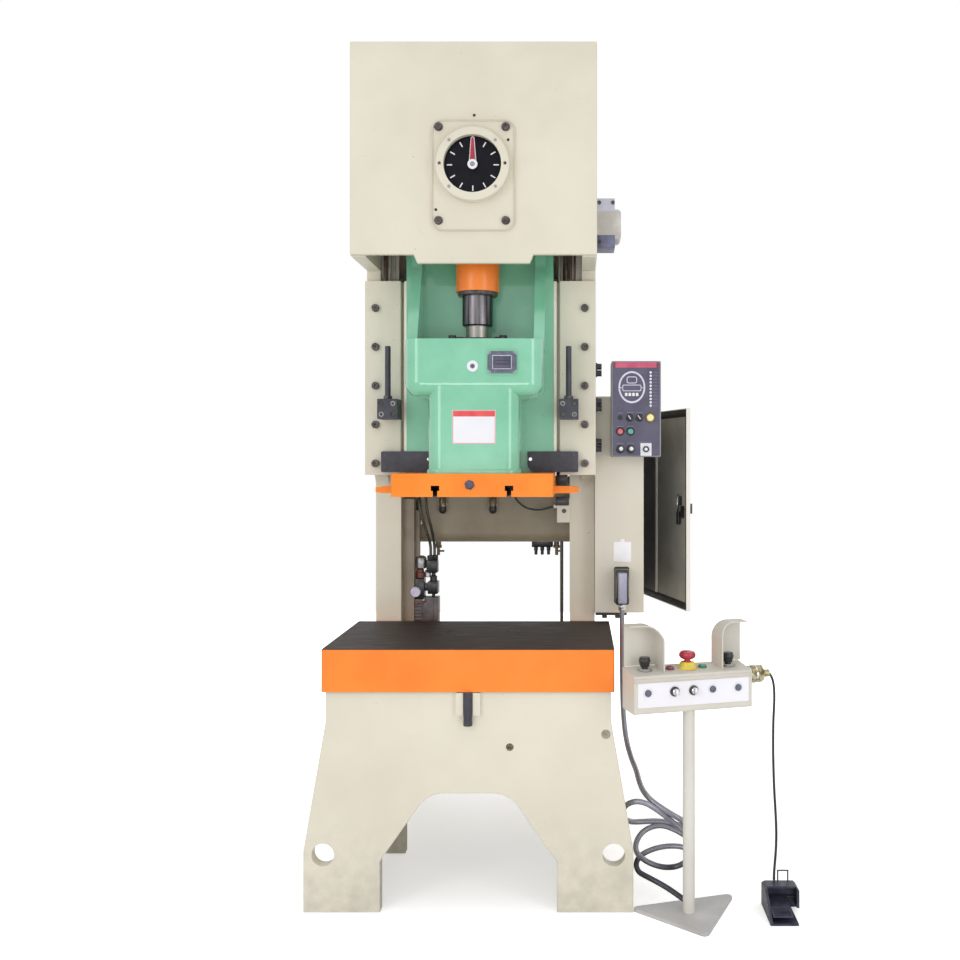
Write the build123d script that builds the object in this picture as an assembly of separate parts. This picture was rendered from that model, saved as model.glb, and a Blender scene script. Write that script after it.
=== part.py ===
from build123d import *
import math
import os

# Mechanical stamping press: a gap frame welded from steel plates, a crankshaft that runs front to
# back, one connecting rod with a ball-ended adjusting screw, and a ram in side gibs.
# Millimetres. Modelled from the floor up, x = 0 on the ram's centre, y = 0 on the ram's axis and
# the operator at -Y. Each solid is then set down so that the origin is the middle of the bolster top.

# Frame, upwards from the bed and outwards from the ram
frame_width = 915
side_wall = 55
plate_edge = 2.5
bed_top = 780
bolster_height = 150
open_height = 530
slide_height = 85
stroke = 180
guide_length = 875
crank_cover = 444
gib_width = 112.5
bed_front = 315
throat_depth = 345
nose_set_back = 150
head_front = 155
frame_back = 1050
foot_relief = 60
throat_corner = 60
stiffener_depth = 334
stiffener_wall = 50

side_out = frame_width / 2
side_in = side_out - side_wall
guide_half = side_in - gib_width
bolster_top = bed_top + bolster_height
slide_bottom = bolster_top + open_height
slide_top = slide_bottom + slide_height
throat_height = slide_top - 10
guide_top = slide_top + guide_length
head_bottom = guide_top - 70
housing_top = guide_top - 377
ball_z = housing_top - 53
screw_bottom = ball_z + 118
rod_bottom = screw_bottom + 131
crank_z = rod_bottom + 441
crank_throw = stroke / 2
head_top = crank_z + crank_cover

# Leg plates under the bed
leg_plate = 50
leg_half_top = side_out + 45.5
leg_half_foot = side_out + 124.5
leg_flare_top = 675
leg_flare_foot = 214
arch_half = side_in - 90.5
arch_top_half = arch_half - 169
arch_top = 420
arch_shoulder = 180
arch_corner = 110
lift_hole_r = 40
lift_hole_x = side_out + 55.5
lift_hole_z = 203
rear_leg_y = 205
deck_plate = 60
deck_hole_r = 130

# Head plates
cover_plate = 20
bearing_wall = 55
middle_wall_y = 340
middle_wall = 60
rear_wall = 50
tab_half = side_out - 249.5
tab_drop = 32
tab_slant = 14

# Bolster
bolster_half = side_out + 57.5
bolster_front = 380
bolster_back = 280
drop_hole_r = 60
ring_groove_r = 115
ring_groove = 4
slot_throat = 16.5
slot_head = 31
slot_throat_depth = 22
slot_head_depth = 19

# Crankshaft
pin_r = 70
journal_r = 80
web_wall = 35
big_end_wall = 116
bush_wall = 10
running_gap = 0.05
side_gap = 0.3
tail_length = 215

# Connecting rod and adjusting screw
rod_r = 83
big_end_r = 200
collar_r = 77
collar_height = 15
screw_r = 59
screw_top = rod_bottom + 235
neck_r = 46
ball_r = 75
screw_bore_top = rod_bottom + 321

# Ram
slide_half = guide_half + 6
slide_depth_half = 230
slide_slot_x = 135
ram_front = 190
neck_half = guide_half - 118
neck_round = 60
neck_top = housing_top - 173
housing_half = guide_half - 32
housing_round = 60
ram_back_front = 95
guide_back = 326
guide_wall = 45
tongue_reach = 40
tongue_y = 220
tongue_half = 30
wall_inner = guide_half - 70
wall_outer = guide_half - 30
wall_low_y = -100
wall_high_y = 40
wall_high_z = guide_top - 70
cap_r = 125
cap_plate = 12
cap_bolt_angles = (0, 40, 140, 180)
cap_bolt_circle = 98
pad_left = 53
pad_width = 109
pad_low = housing_top - 135
pad_height = 93
cap_bolt_r = 15
cap_bolt_head = 20

# Gibs
liner = 12
adjust_up = 40
liner_bottom = slide_top + adjust_up + 5
gib_top = guide_top - 117
gib_cover_edge = guide_half + 24
gib_cover_front = 110
gib_back = 330
gib_screw_x = side_out - 43.5
gib_screw_low = slide_top + 35.6
gib_screw_pitch = 153.6
gib_screw_count = 5
socket_head_r = 15
socket_head = 16
socket_key_r = 7
adjuster_y = 230
adjuster_heights = (slide_top + 108, slide_top + 273, slide_top + 415)
adjuster_pitch = 27
adjuster_r = 9
adjuster_nut_r = 12.5
adjuster_nut = 18
adjuster_bar = 8
adjuster_bar_half = 28

# Knockout bar and its stops
bar_half = slide_half + 94
bar_bottom = slide_bottom + 7
bar_height = 27
bar_depth = 50
bar_travel = 40
stop_inner = guide_half + 22
stop_outer = stop_inner + 77
stop_bottom = slide_top + 208
stop_height = 78
stop_front = 2
stop_rod_x = stop_inner + 39
stop_rod_y = 22
stop_rod_r = 11
stop_rod_top = stop_bottom + 283
wing_inner = guide_half - 102
wing_outer = side_out - 69.5
wing_bottom = slide_top + 1
wing_height = 82
wing_plate = 15
wing_round = 35

# Clamp under the bolster's front edge
clamp_gap = 17
clamp_lug = 26
clamp_height = 83
lug_reach = 14
clamp_screw_r = 15

# Dial on the head
dial_z = crank_z - 34
dial_plate_width = 307
dial_plate_height = 410
dial_plate_wall = 8
dial_ring_r = 136
dial_face_r = 106
dial_shaft_r = 10
dial_shaft_gap = 0.4
dial_depth = 50
pointer_hub_r = 18
pointer_wall = 5
pointer_length = 99

# Flywheel, clutch, motor and guard
guard_half = side_out - 2.5
wheel_r = guard_half - 55
wheel_start = 1085
wheel_wall = 120
wheel_hub_r = 130
wheel_rim = 62
wheel_web = 40
belt_track = 14
belt_wall = 13.7
belt_count = 3
belt_width = 24
belt_gap = 6
clutch_r = 190
clutch_wall = 40
clutch_gap = 5
pulley_r = 92
motor_z = crank_z - 660
motor_r = 125
motor_start = 730
motor_end = 1025
motor_shaft_r = 24
shelf_z = motor_z - 160
shelf_wall = 20
guard_low = motor_z - 130
guard_high = head_top - 14
guard_wall = 4
guard_end = 1290

# Air tank between the columns
tank_low = slide_bottom - 220
tank_high = slide_bottom + 60
tank_front = 460
tank_back = 860
tank_round = 40
cock_places = ((stiffener_wall + 116.5 - side_in, 660), (side_in - stiffener_wall - 60.5, 660))

# Electrical cabinet and its door
cabinet_front = 270
cabinet_back = 986
cabinet_height = 890
cabinet_low = bolster_top + 35
cabinet_high = cabinet_low + cabinet_height
cabinet_out = side_out + 199.5
sheet = 3
door_low = cabinet_low + 4
door_high = cabinet_high - 48
door_fold = 17
door_gap = 1
door_open = 14.3
hinge_r = 8
hinge_pin_r = 4
hinge_heights = tuple(cabinet_low + cabinet_height * share for share in (0.13, 0.475, 0.82))
hinge_length = 60
lock_z = cabinet_low + cabinet_height / 2 - 20
lock_inset = 46
lock_shaft_r = 8
hood_left = side_out + 83.5
hood_right = hood_left + 51
hood_low = cabinet_low + 46
hood_high = hood_low + 137
hood_reach = 80

# Operator panel and junction box
panel_left = side_out + 63.5
panel_right = panel_left + 198
panel_low = cabinet_high - 249
panel_high = panel_low + 384
panel_front = 150
panel_button_r = 11
panel_knob_places = ((35, 157, 6, 6), (73, 157, 11, 16), (112, 157, 11, 16), (155, 157, 14, 6),
                     (35, 31, 12, 18), (76, 31, 12, 18), (138, 31, 12, 10))
panel_button_places = ((35, 102), (76, 102))
box_out = side_out + 93.5
box_low = head_bottom + 55
box_high = box_low + 185
box_half_depth = 60

# Two-hand control stand
stand_x = side_out + 120.5
stand_y = -500
stand_turn = 17
console_length = 440
console_depth = 120
console_low = 727
console_front_high = 857
console_high = 873
console_lip = 6
post_r = 21
post_x = stand_x + 197
post_y = -386
base_corners = ((post_x - 207, -343), (post_x + 184, -218), (post_x + 43, -569))
base_round = 18
base_wall = 12
guard_places = ((4, 118), (337, 112))
guard_reach = 60
guard_height = 148
guard_sheet = 3
guard_round = 58
palm_inset = 62
palm_y = 66
palm_r = 21
palm_stem_r = 11
palm_height = 30
palm_rise = 12
palm_travel = 6
palm_stem = 26
stop_r = 27
stop_rise = 31
stop_cap_height = 26
stop_place = 0.505
selector_places = (0.334, 0.494)
fixed_button_places = (0.11, 0.654, 0.874)
lamp_places = (0.35, 0.63)
selector_r = 12
selector_z = 800
gland_r = 27
gland_length = 84
gland_z = 834
gland_y = 40
gland_nose_r = 9

# Foot switch
pedal_x0 = stand_x + 468
pedal_x1 = pedal_x0 + 121
pedal_y0 = -474
pedal_y1 = -285
pedal_roof = 88
pedal_roof_front = -352
pedal_corner = 11
pedal_wall = 9
pedal_cheek_low = 16
toe_plate_right = pedal_x0 + 97
treadle_x = (pedal_x0 + 11, pedal_x0 + 81)
pedal_axle_y = -322
pedal_axle_z = 40
pedal_axle_r = 4
bail_width = 36
bail_height = 36
bail_wire = 2.5

# Air service unit on the left column
unit_y = 422
unit_half_depth = 34
unit_edge = 202.5 - side_in
unit_gap = 38
unit_port_z = 1180

# Cords
foot_cord_r = 4.5
conduit_r = 10
ram_cable_r = 4
hose_r = 6
coil_x = side_out + 216.5
coil_y = -240
coil_half_x = 134
coil_half_y = 70
coil_low = 115
coil_high = 385
foot_cord_route = ((492.4, -307.6, 833), (497, -306.2, 827), (504, -304, 814), (509, -302.5, 795),
                   (512, -301, 768), (512.5, -299, 728), (509.7, -296, 668), (509.2, -292.5, 596),
                   (510, -290, 530), (512, -289, 460), (515, -288.5, 390), (519.5, -288, 322),
                   (522, -288, 256), (520.5, -288.5, 198), (516, -290, 146), (512.5, -292, 112),
                   (512, -294, 88))
conduit_upper_route = ((108.5, 215, 1011), (108.5, 214, 900), (108.5, 206, 790), (108.5, 186, 680),
                       (110.5, 148, 580), (117.5, 82, 500), (132.5, -10, 450), (148.5, -110, 430),
                       (154.5, -190, 410), (156.5, -226, 385))
conduit_lower_route = ((140.5, -240, 150), (144.5, -246, 122), (164.5, -256, 96), (202.5, -276, 80),
                       (246.5, -306, 66), (284.5, -342, 52), (304.5, -368, 46))
ram_cable_route = ((-288.5, 270, 1545), (-288.5, 270, 1490), (-274.5, 278, 1434), (-232.5, 296, 1394),
                   (-174.5, 320, 1384), (-117.5, 337, 1400))
hose_routes = (((180.5, 422, 1180), (180.5, 422, 1232), (172.5, 405, 1292), (159.5, 386, 1350),
                (150.5, 374, 1408), (146.5, 398, 1462), (146.5, 460, 1462)),
               ((166.5, 404, 1180), (166.5, 404, 1236), (150.5, 384, 1294), (134.5, 366, 1350),
                (124.5, 362, 1404), (120.5, 392, 1456), (120.5, 460, 1456)))


def save(name, *solids):
    """Writes one sub-part, set down from the floor frame to the bolster's top."""
    placed = [s.moved(Location((0, 0, -(bed_top + bolster_height)))) for s in solids]
    export_step(placed[0] if len(placed) == 1 else Compound(children=placed), f"parts/{name}.step")


def block(x0, x1, y0, y1, z0, z1):
    """A box between two corners."""
    middle = ((x0 + x1) / 2, (y0 + y1) / 2, (z0 + z1) / 2)
    return Pos(*middle) * Box(abs(x1 - x0), abs(y1 - y0), abs(z1 - z0))


def along_x(x, y, z, r, length):
    """A cylinder that starts at x and runs towards +X."""
    return Pos(x + length / 2, y, z) * Rot(0, 90, 0) * Cylinder(r, length)


def along_y(x, y, z, r, length):
    """A cylinder that starts at y and runs towards +Y."""
    return Pos(x, y + length / 2, z) * Rot(90, 0, 0) * Cylinder(r, length)


def along_z(x, y, z, r, length):
    """A cylinder that starts at z and runs upwards."""
    return Pos(x, y, z + length / 2) * Cylinder(r, length)


def hexagon(x, y, z, r, length, axis="x"):
    """A hexagon nut or head that starts at the point and runs along the axis."""
    turn = {"x": Rot(0, 90, 0), "y": Rot(-90, 0, 0), "z": Rot(0, 0, 0)}[axis]
    return Pos(x, y, z) * turn * extrude(RegularPolygon(r, 6), length)


def outline(points, radii):
    """A closed face in the XY plane with a rounded corner at each point that has a radius."""
    return make_face(FilletPolyline(*points, radius=radii, close=True))


def front_profile(points, radii, y, depth):
    """A plate drawn in x and z, seen from the front, from y back by its depth."""
    plane = Plane(origin=(0, y, 0), x_dir=(1, 0, 0), z_dir=(0, -1, 0))
    return extrude(plane * outline(points, radii), -depth)


def side_profile(points, radii, x, width):
    """A plate drawn in y and z, from x towards +X by its width."""
    plane = Plane(origin=(x, 0, 0), x_dir=(0, 1, 0), z_dir=(1, 0, 0))
    return extrude(plane * outline(points, radii), width)


def plan_profile(points, radii, z, height):
    """A plate drawn in x and y, from z up by its height."""
    return extrude(Pos(0, 0, z) * outline(points, radii), height)


def turned(points, x=0, y=0):
    """A body of revolution about a vertical line, from points of radius and height."""
    plane = Plane(origin=(x, y, 0), x_dir=(1, 0, 0), z_dir=(0, -1, 0))
    return revolve(plane * outline(points, [0] * len(points)), Axis((x, y, 0), (0, 0, 1)))


def mirrored(shape):
    """The same piece on the other side of the ram's centre."""
    return mirror(shape, Plane.YZ)


def side_plate(adjusters):
    """Right side plate: head, gib nose, throat, column and bed in one steel plate, with the
    stiffener that thickens the column and holes for the gib adjusters."""
    relief_front, relief_back = 60, frame_back - 170
    points = [(-bed_front, 0), (-bed_front, bed_top), (throat_depth, bed_top),
              (throat_depth, throat_height), (nose_set_back, throat_height),
              (nose_set_back, head_bottom), (-head_front, head_bottom), (-head_front, head_top),
              (frame_back, head_top), (frame_back, 0), (relief_back, 0),
              (relief_back - foot_relief, foot_relief), (relief_front + foot_relief, foot_relief),
              (relief_front, 0)]
    radii = [0, 0, throat_corner, throat_corner, 0, 0, 0, 0, 0, 0, 0, 20, 20, 0]
    plate = side_profile(points, radii, side_in, side_wall)
    plate = chamfer(plate.faces().sort_by(Axis.X)[-1].edges(), plate_edge)
    stiffener = block(side_in - stiffener_wall, side_in, throat_depth, throat_depth + stiffener_depth,
                      bed_top - deck_plate, head_bottom)
    plate += stiffener
    for z in adjusters:
        for side in (-1, 1):
            hole_z = z + side * adjuster_pitch / 2
            plate -= along_x(side_in - 5, adjuster_y, hole_z, adjuster_r + side_gap, side_wall + 10)
    for z in gib_screw_heights():
        plate -= along_y(gib_screw_x, nose_set_back - 1, z, socket_head_r * 0.6, 60)
    return plate


def gib_screw_heights():
    """Heights of the screws that hold each gib cover."""
    return [gib_screw_low + i * gib_screw_pitch for i in range(gib_screw_count)]


def leg_outline():
    """Half-round arch between two flared feet, seen from the front."""
    right = [(leg_half_top, bed_top), (leg_half_top, leg_flare_top), (leg_half_foot, leg_flare_foot),
             (leg_half_foot, 0), (arch_half, 0), (arch_half, arch_shoulder), (arch_top_half, arch_top)]
    left = [(-x, z) for x, z in reversed(right)]
    radii = [0, 60, 60, 0, 0, 20, arch_corner]
    return right + left, radii + radii[::-1]


def front_leg_plate():
    """Front plate of the bed with the leg arch, lifting holes and the bolster's clamp lugs."""
    points, radii = leg_outline()
    plate = front_profile(points, radii, -bed_front - leg_plate, leg_plate)
    plate = chamfer(plate.faces().sort_by(Axis.Y)[0].edges(), plate_edge)
    for side in (-1, 1):
        plate -= along_y(side * lift_hole_x, -bed_front - leg_plate - 1, lift_hole_z,
                         lift_hole_r, leg_plate + 2)
        lug = block(side * clamp_gap, side * (clamp_gap + clamp_lug), -bed_front - leg_plate - lug_reach,
                    -bed_front - leg_plate, bed_top - clamp_height, bed_top - 3)
        plate += lug
    plate -= along_y(146, -bed_front - leg_plate - 1, 583, 14, leg_plate + 2)
    return plate


def bed_frame():
    """Deck under the bolster with its scrap hole, and the rear leg plate, welded as one."""
    points, radii = leg_outline()
    half = side_in
    rear = front_profile(points, radii, rear_leg_y, leg_plate) & block(
        -half, half, rear_leg_y, rear_leg_y + leg_plate, 0, bed_top)
    deck = block(-half, half, -bed_front, throat_depth, bed_top - deck_plate, bed_top)
    deck -= along_z(0, 0, bed_top - deck_plate - 1, deck_hole_r, deck_plate + 2)
    deck -= block(-half, -half + stiffener_wall, throat_depth, throat_depth + 1, 0, bed_top)
    return deck + rear


def head_front_plate():
    """Cover plate across the head, with a wider middle at its lower edge and a crank boss hole."""
    low = head_bottom + 5
    right = [(side_out, head_top + cover_plate), (side_out, low), (tab_half + tab_slant, low),
             (tab_half, low - tab_drop)]
    left = [(-x, z) for x, z in reversed(right)]
    plate = front_profile(right + left, [6, 0, 0, 0] + [0, 0, 0, 6], -head_front - cover_plate, cover_plate)
    plate = chamfer(plate.faces().sort_by(Axis.Y)[0].edges(), plate_edge)
    return plate - along_y(0, -head_front - cover_plate - 1, crank_z, dial_shaft_r + 2, cover_plate + 2)


def head_shell():
    """Top plate and the three walls that carry the crankshaft, welded as one."""
    shell = block(-side_out, side_out, -head_front, frame_back, head_top, head_top + cover_plate)
    walls = ((-head_front, bearing_wall, head_bottom + 100), (middle_wall_y, middle_wall, head_bottom),
             (frame_back - rear_wall, rear_wall, head_bottom))
    for y, depth, low in walls:
        wall = block(-side_in, side_in, y, y + depth, low, head_top)
        shell += wall - along_y(0, y - 1, crank_z, journal_r + running_gap + bush_wall, depth + 2)
    return shell


def crank_bush(y, depth):
    """Plain bronze bush for one journal."""
    outer = along_y(0, y, crank_z, journal_r + running_gap + bush_wall, depth)
    return outer - along_y(0, y - 1, crank_z, journal_r + running_gap, depth + 2)


def crankshaft():
    """Journals, two webs and the offset pin, with the tail that carries clutch and flywheel."""
    pin_half = big_end_wall / 2 + 2
    web_points = [(-95, crank_z - 60), (95, crank_z - 60), (95, crank_z + crank_throw + 60),
                  (-95, crank_z + crank_throw + 60)]
    shaft = along_y(0, -pin_half - 1, crank_z + crank_throw, pin_r, 2 * pin_half + 2)
    for y in (-pin_half - web_wall, pin_half):
        shaft += front_profile(web_points, [45, 45, 70, 70], y, web_wall)
    front_start = -head_front
    shaft += along_y(0, front_start, crank_z, journal_r, -pin_half - web_wall - front_start)
    back_start = pin_half + web_wall
    shaft += along_y(0, back_start, crank_z, journal_r, frame_back + tail_length - back_start)
    shaft += along_y(0, -head_front - cover_plate - dial_depth + 12, crank_z, dial_shaft_r,
                     cover_plate + dial_depth - 12)
    return shaft


def connecting_rod():
    """Big end with a wide eye, and the round shank that the adjusting screw threads into."""
    eye_z = crank_z + crank_throw
    eye_r = pin_r + crank_throw + 3
    rod = along_z(0, 0, rod_bottom, rod_r, eye_z - rod_bottom - eye_r - 15)
    ring = along_y(0, -big_end_wall / 2, eye_z, big_end_r, big_end_wall)
    rod += ring
    cheek = front_profile([(-rod_r, rod_bottom + 170), (rod_r, rod_bottom + 170),
                           (big_end_r * 0.86, eye_z - 100), (-big_end_r * 0.86, eye_z - 100)],
                          [0, 0, 0, 0], -big_end_wall / 2, big_end_wall)
    rod += cheek
    rod -= along_y(0, -rod_r - 1, eye_z, eye_r, 2 * rod_r + 2)
    rod -= along_z(0, 0, rod_bottom - 1, screw_r + running_gap, screw_bore_top - rod_bottom + 1)
    return rod


def rod_collar():
    """Lock collar under the rod."""
    ring = along_z(0, 0, rod_bottom - collar_height, collar_r, collar_height)
    ring = chamfer(ring.edges().filter_by(GeomType.CIRCLE).sort_by(Axis.Z)[0], 3)
    return ring - along_z(0, 0, rod_bottom - collar_height - 1, screw_r + running_gap, collar_height + 2)


def adjusting_screw():
    """Screw with a ball foot, turned from one bar."""
    body = along_z(0, 0, screw_bottom, screw_r, screw_top - screw_bottom)
    body = chamfer(body.edges().filter_by(GeomType.CIRCLE), 5)
    body += along_z(0, 0, ball_z, neck_r, screw_bottom - ball_z)
    return body + Pos(0, 0, ball_z) * Sphere(ball_r)


def ram_casting():
    """Ram: neck and ball housing in front, side walls beside the screw, and the guided back."""
    neck_low = slide_top
    neck = block(-neck_half, neck_half, -ram_front, ram_back_front, neck_low, neck_top)
    neck = fillet(neck.edges().filter_by(Axis.Z).group_by(Axis.Y)[0], neck_round)
    foot = block(-neck_half - 6, neck_half + 6, -ram_front - 6, ram_back_front - wing_plate, neck_low,
                 neck_low + 16)
    foot = fillet(foot.edges().filter_by(Axis.Z).group_by(Axis.Y)[0], neck_round)
    foot = chamfer(foot.faces().sort_by(Axis.Z)[-1].edges(), 5)
    housing = block(-housing_half, housing_half, -ram_front, ram_back_front, neck_top - 40, housing_top)
    housing = fillet(housing.edges().filter_by(Axis.Z).group_by(Axis.Y)[0], housing_round)
    low_face = housing.faces().sort_by(Axis.Z)[0]
    rounded = [e for e in low_face.edges() if e.center().Y < ram_back_front - 5]
    housing = fillet(rounded, housing_round - 8)
    back = block(-guide_half, guide_half, ram_back_front, guide_back, neck_low, guide_top)
    pocket = block(-guide_half + guide_wall, guide_half - guide_wall, ram_back_front + 20,
                   guide_back - guide_wall, neck_low + 120, guide_top + 1)
    ram = neck + foot + housing + (back - pocket)
    for side in (-1, 1):
        wall_points = [(wall_low_y, housing_top - 30), (wall_low_y, housing_top), (wall_high_y, wall_high_z),
                       (wall_high_y, guide_top), (ram_back_front, guide_top),
                       (ram_back_front, housing_top - 30)]
        x0 = min(side * wall_inner, side * wall_outer)
        ram += side_profile(wall_points, [0, 30, 60, 12, 0, 0], x0, wall_outer - wall_inner)
        ram += block(side * guide_half, side * (guide_half + tongue_reach), tongue_y - tongue_half,
                     tongue_y + tongue_half, neck_low, gib_top - 5)
    ram -= along_z(0, 0, ball_z, ball_r + 10, housing_top - ball_z + 1)
    ram -= Pos(0, 0, ball_z) * Sphere(ball_r + side_gap)
    return ram


def gauge_pad():
    """Pad on the ram's housing that frames the die height counter's window."""
    x0, x1, z0, z1 = pad_left, pad_left + pad_width, pad_low, pad_low + pad_height
    pad = block(x0, x1, -ram_front - 8, -ram_front, z0, z1)
    pad = fillet(pad.edges().filter_by(Axis.Y), 10)
    window = block(x0 + 22, x1 - 22, -ram_front - 9, -ram_front - 4, z0 + 24, z1 - 24)
    return pad - window


def ball_cap():
    """Bolted cap that holds the ball down in its seat, with its four bolts."""
    seat_r = ball_r + side_gap
    plug_r = ball_r + 10 - side_gap
    low = ball_z + 16
    hole_r = neck_r + 10
    cap = turned([(hole_r, low), (plug_r, low), (plug_r, housing_top), (cap_r, housing_top),
                  (cap_r, housing_top + cap_plate), (hole_r, housing_top + cap_plate)])
    cap -= Pos(0, 0, ball_z) * Sphere(seat_r)
    for degrees in cap_bolt_angles:
        angle = math.radians(degrees)
        x, y = cap_bolt_circle * math.cos(angle), cap_bolt_circle * math.sin(angle)
        head = along_z(x, y, housing_top + cap_plate, cap_bolt_r, cap_bolt_head)
        cap += head - along_z(x, y, housing_top + cap_plate + 10, 7, cap_bolt_head)
    return cap & block(-cap_r, cap_r, -cap_r, ram_back_front - side_gap, 0, head_top)


def slide_plate():
    """Plate under the ram with T-slots from front and back and a cross slot for the knockout bar."""
    plate = block(-slide_half, slide_half, -slide_depth_half, slide_depth_half, slide_bottom, slide_top)
    plate = chamfer(plate.edges().filter_by(Axis.Z), 4)
    half_bar = bar_depth / 2 + side_gap
    plate -= block(-slide_half - 1, slide_half + 1, -half_bar, half_bar, bar_bottom - side_gap,
                   bar_bottom + bar_height + bar_travel + side_gap)
    for x in (-slide_slot_x, slide_slot_x):
        for y0, y1 in ((-slide_depth_half - 1, -half_bar - 30), (half_bar + 30, slide_depth_half + 1)):
            plate -= block(x - slot_throat / 2, x + slot_throat / 2, y0, y1, slide_bottom - 1,
                           slide_bottom + slot_throat_depth)
            plate -= block(x - slot_head / 2, x + slot_head / 2, y0, y1, slide_bottom + slot_throat_depth,
                           slide_bottom + slot_throat_depth + slot_head_depth)
    return plate


def knockout_bar():
    """Flat bar through the slide, with its ends drawn in."""
    taper = 30
    points = [(-bar_half, bar_bottom + 4), (-bar_half + taper, bar_bottom),
              (bar_half - taper, bar_bottom), (bar_half, bar_bottom + 4),
              (bar_half, bar_bottom + bar_height - 4), (bar_half - taper, bar_bottom + bar_height),
              (-bar_half + taper, bar_bottom + bar_height), (-bar_half, bar_bottom + bar_height - 4)]
    return front_profile(points, [0] * 8, -bar_depth / 2, bar_depth)


def wing_plate_pair():
    """Black scraper plates on the ram that cover the lower gib ends."""
    top = wing_bottom + wing_height
    points = [(wing_inner, wing_bottom), (wing_outer, wing_bottom), (wing_outer, top), (wing_inner, top)]
    right = front_profile(points, [wing_round, 6, 6, 6], ram_back_front - wing_plate, wing_plate)
    return right, mirrored(right)


def gib_block():
    """Right guide block with the groove that holds the liner."""
    face = guide_half + side_gap + liner
    half_groove = tongue_half + side_gap + liner
    groove_x = guide_half + tongue_reach + side_gap + liner
    points = [(face, nose_set_back), (side_in, nose_set_back), (side_in, gib_back), (face, gib_back),
              (face, tongue_y + half_groove), (groove_x, tongue_y + half_groove),
              (groove_x, tongue_y - half_groove), (face, tongue_y - half_groove)]
    return plan_profile(points, [0] * 8, slide_top, gib_top - slide_top)


def gib_liner():
    """Bronze liner bent round the ram's guide tongue."""
    near = guide_half + side_gap
    deep = guide_half + tongue_reach + side_gap
    half = tongue_half + side_gap
    front, back = gib_cover_front + 4, guide_back
    points = [(near, front), (near, tongue_y - half), (deep, tongue_y - half), (deep, tongue_y + half),
              (near, tongue_y + half), (near, back), (near + liner, back),
              (near + liner, tongue_y + half + liner), (deep + liner, tongue_y + half + liner),
              (deep + liner, tongue_y - half - liner), (near + liner, tongue_y - half - liner),
              (near + liner, front)]
    return plan_profile(points, [0] * 12, liner_bottom, gib_top - liner_bottom)


def gib_cover():
    """Right cream cover plate, bolted over the front of the nose and guide block."""
    cover = block(gib_cover_edge, side_out, gib_cover_front, nose_set_back, throat_height, gib_top)
    cover = chamfer(cover.edges().filter_by(Axis.Z).group_by(Axis.Y)[0], 3)
    for z in gib_screw_heights():
        cover -= along_y(gib_screw_x, gib_cover_front - 1, z, socket_head_r * 0.6,
                         nose_set_back - gib_cover_front + 2)
    return cover


def socket_screw(x, y, z, length):
    """Socket head screw that points backwards, its head in front of y."""
    screw = along_y(x, y - socket_head, z, socket_head_r, socket_head)
    screw = chamfer(screw.edges().filter_by(GeomType.CIRCLE).sort_by(Axis.Y)[0], 1.5)
    screw += along_y(x, y, z, socket_head_r * 0.6 - 0.2, length)
    return screw - hexagon(x, y - socket_head - 1, z, socket_key_r, 9, "y")


def gib_cover_screws():
    """Ten equal screws, five in each cover."""
    right = [socket_screw(gib_screw_x, gib_cover_front, z, 85) for z in gib_screw_heights()]
    return right + [mirrored(s) for s in right]


def gib_adjusters():
    """Pairs of adjusting screws, each under a bar, through the right side plate to the guide block."""
    screws = []
    for z in adjuster_heights:
        bar = block(side_out, side_out + adjuster_bar, adjuster_y - 14, adjuster_y + 14,
                    z - adjuster_bar_half, z + adjuster_bar_half)
        for side in (-1, 1):
            hole_z = z + side * adjuster_pitch / 2
            screw = along_x(side_in, adjuster_y, hole_z, adjuster_r, side_wall + adjuster_bar)
            bar += screw + hexagon(side_out + adjuster_bar, adjuster_y, hole_z, adjuster_nut_r, adjuster_nut)
        screws.append(bar)
    return screws


def knockout_stops():
    """Two blocks on the gib covers, each with its long adjusting rod."""
    right = block(stop_inner, stop_outer, stop_front, gib_cover_front, stop_bottom,
                  stop_bottom + stop_height)
    right = chamfer(right.edges().filter_by(Axis.Y), 2)
    for x in (stop_inner + 16, stop_outer - 16):
        for z in (stop_bottom + 18, stop_bottom + stop_height - 18):
            right -= along_y(x, stop_front - 1, z, 9, 10)
    right -= along_z(stop_rod_x, stop_rod_y, stop_bottom - 1, stop_rod_r + running_gap, stop_height + 2)
    stick = along_z(stop_rod_x, stop_rod_y, stop_bottom, stop_rod_r, stop_rod_top - stop_bottom)
    stick = chamfer(stick.edges().filter_by(GeomType.CIRCLE), 2)
    return right, mirrored(right), stick, mirrored(stick)


def bolster():
    """Thick plate on the bed with the ring of its round centre plate."""
    plate = block(-bolster_half, bolster_half, -bolster_front, bolster_back, bed_top, bolster_top)
    plate = chamfer(plate.edges().filter_by(Axis.Z), 5)
    ring = along_z(0, 0, bolster_top - ring_groove, ring_groove_r + 2, ring_groove + 1)
    ring -= along_z(0, 0, bolster_top - ring_groove - 1, ring_groove_r, ring_groove + 3)
    plate -= ring
    return plate - along_z(0, 0, bed_top - 1, drop_hole_r, bolster_height - 40)


def clamp_screw():
    """Clamp screw between the lugs under the bolster's front edge."""
    y = -bed_front - leg_plate - clamp_screw_r - 1
    screw = along_z(0, y, bed_top - clamp_height - 34, clamp_screw_r, clamp_height + 34)
    return screw + hexagon(0, y, bed_top - clamp_height - 34, clamp_screw_r + 1, 16, "z")


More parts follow.
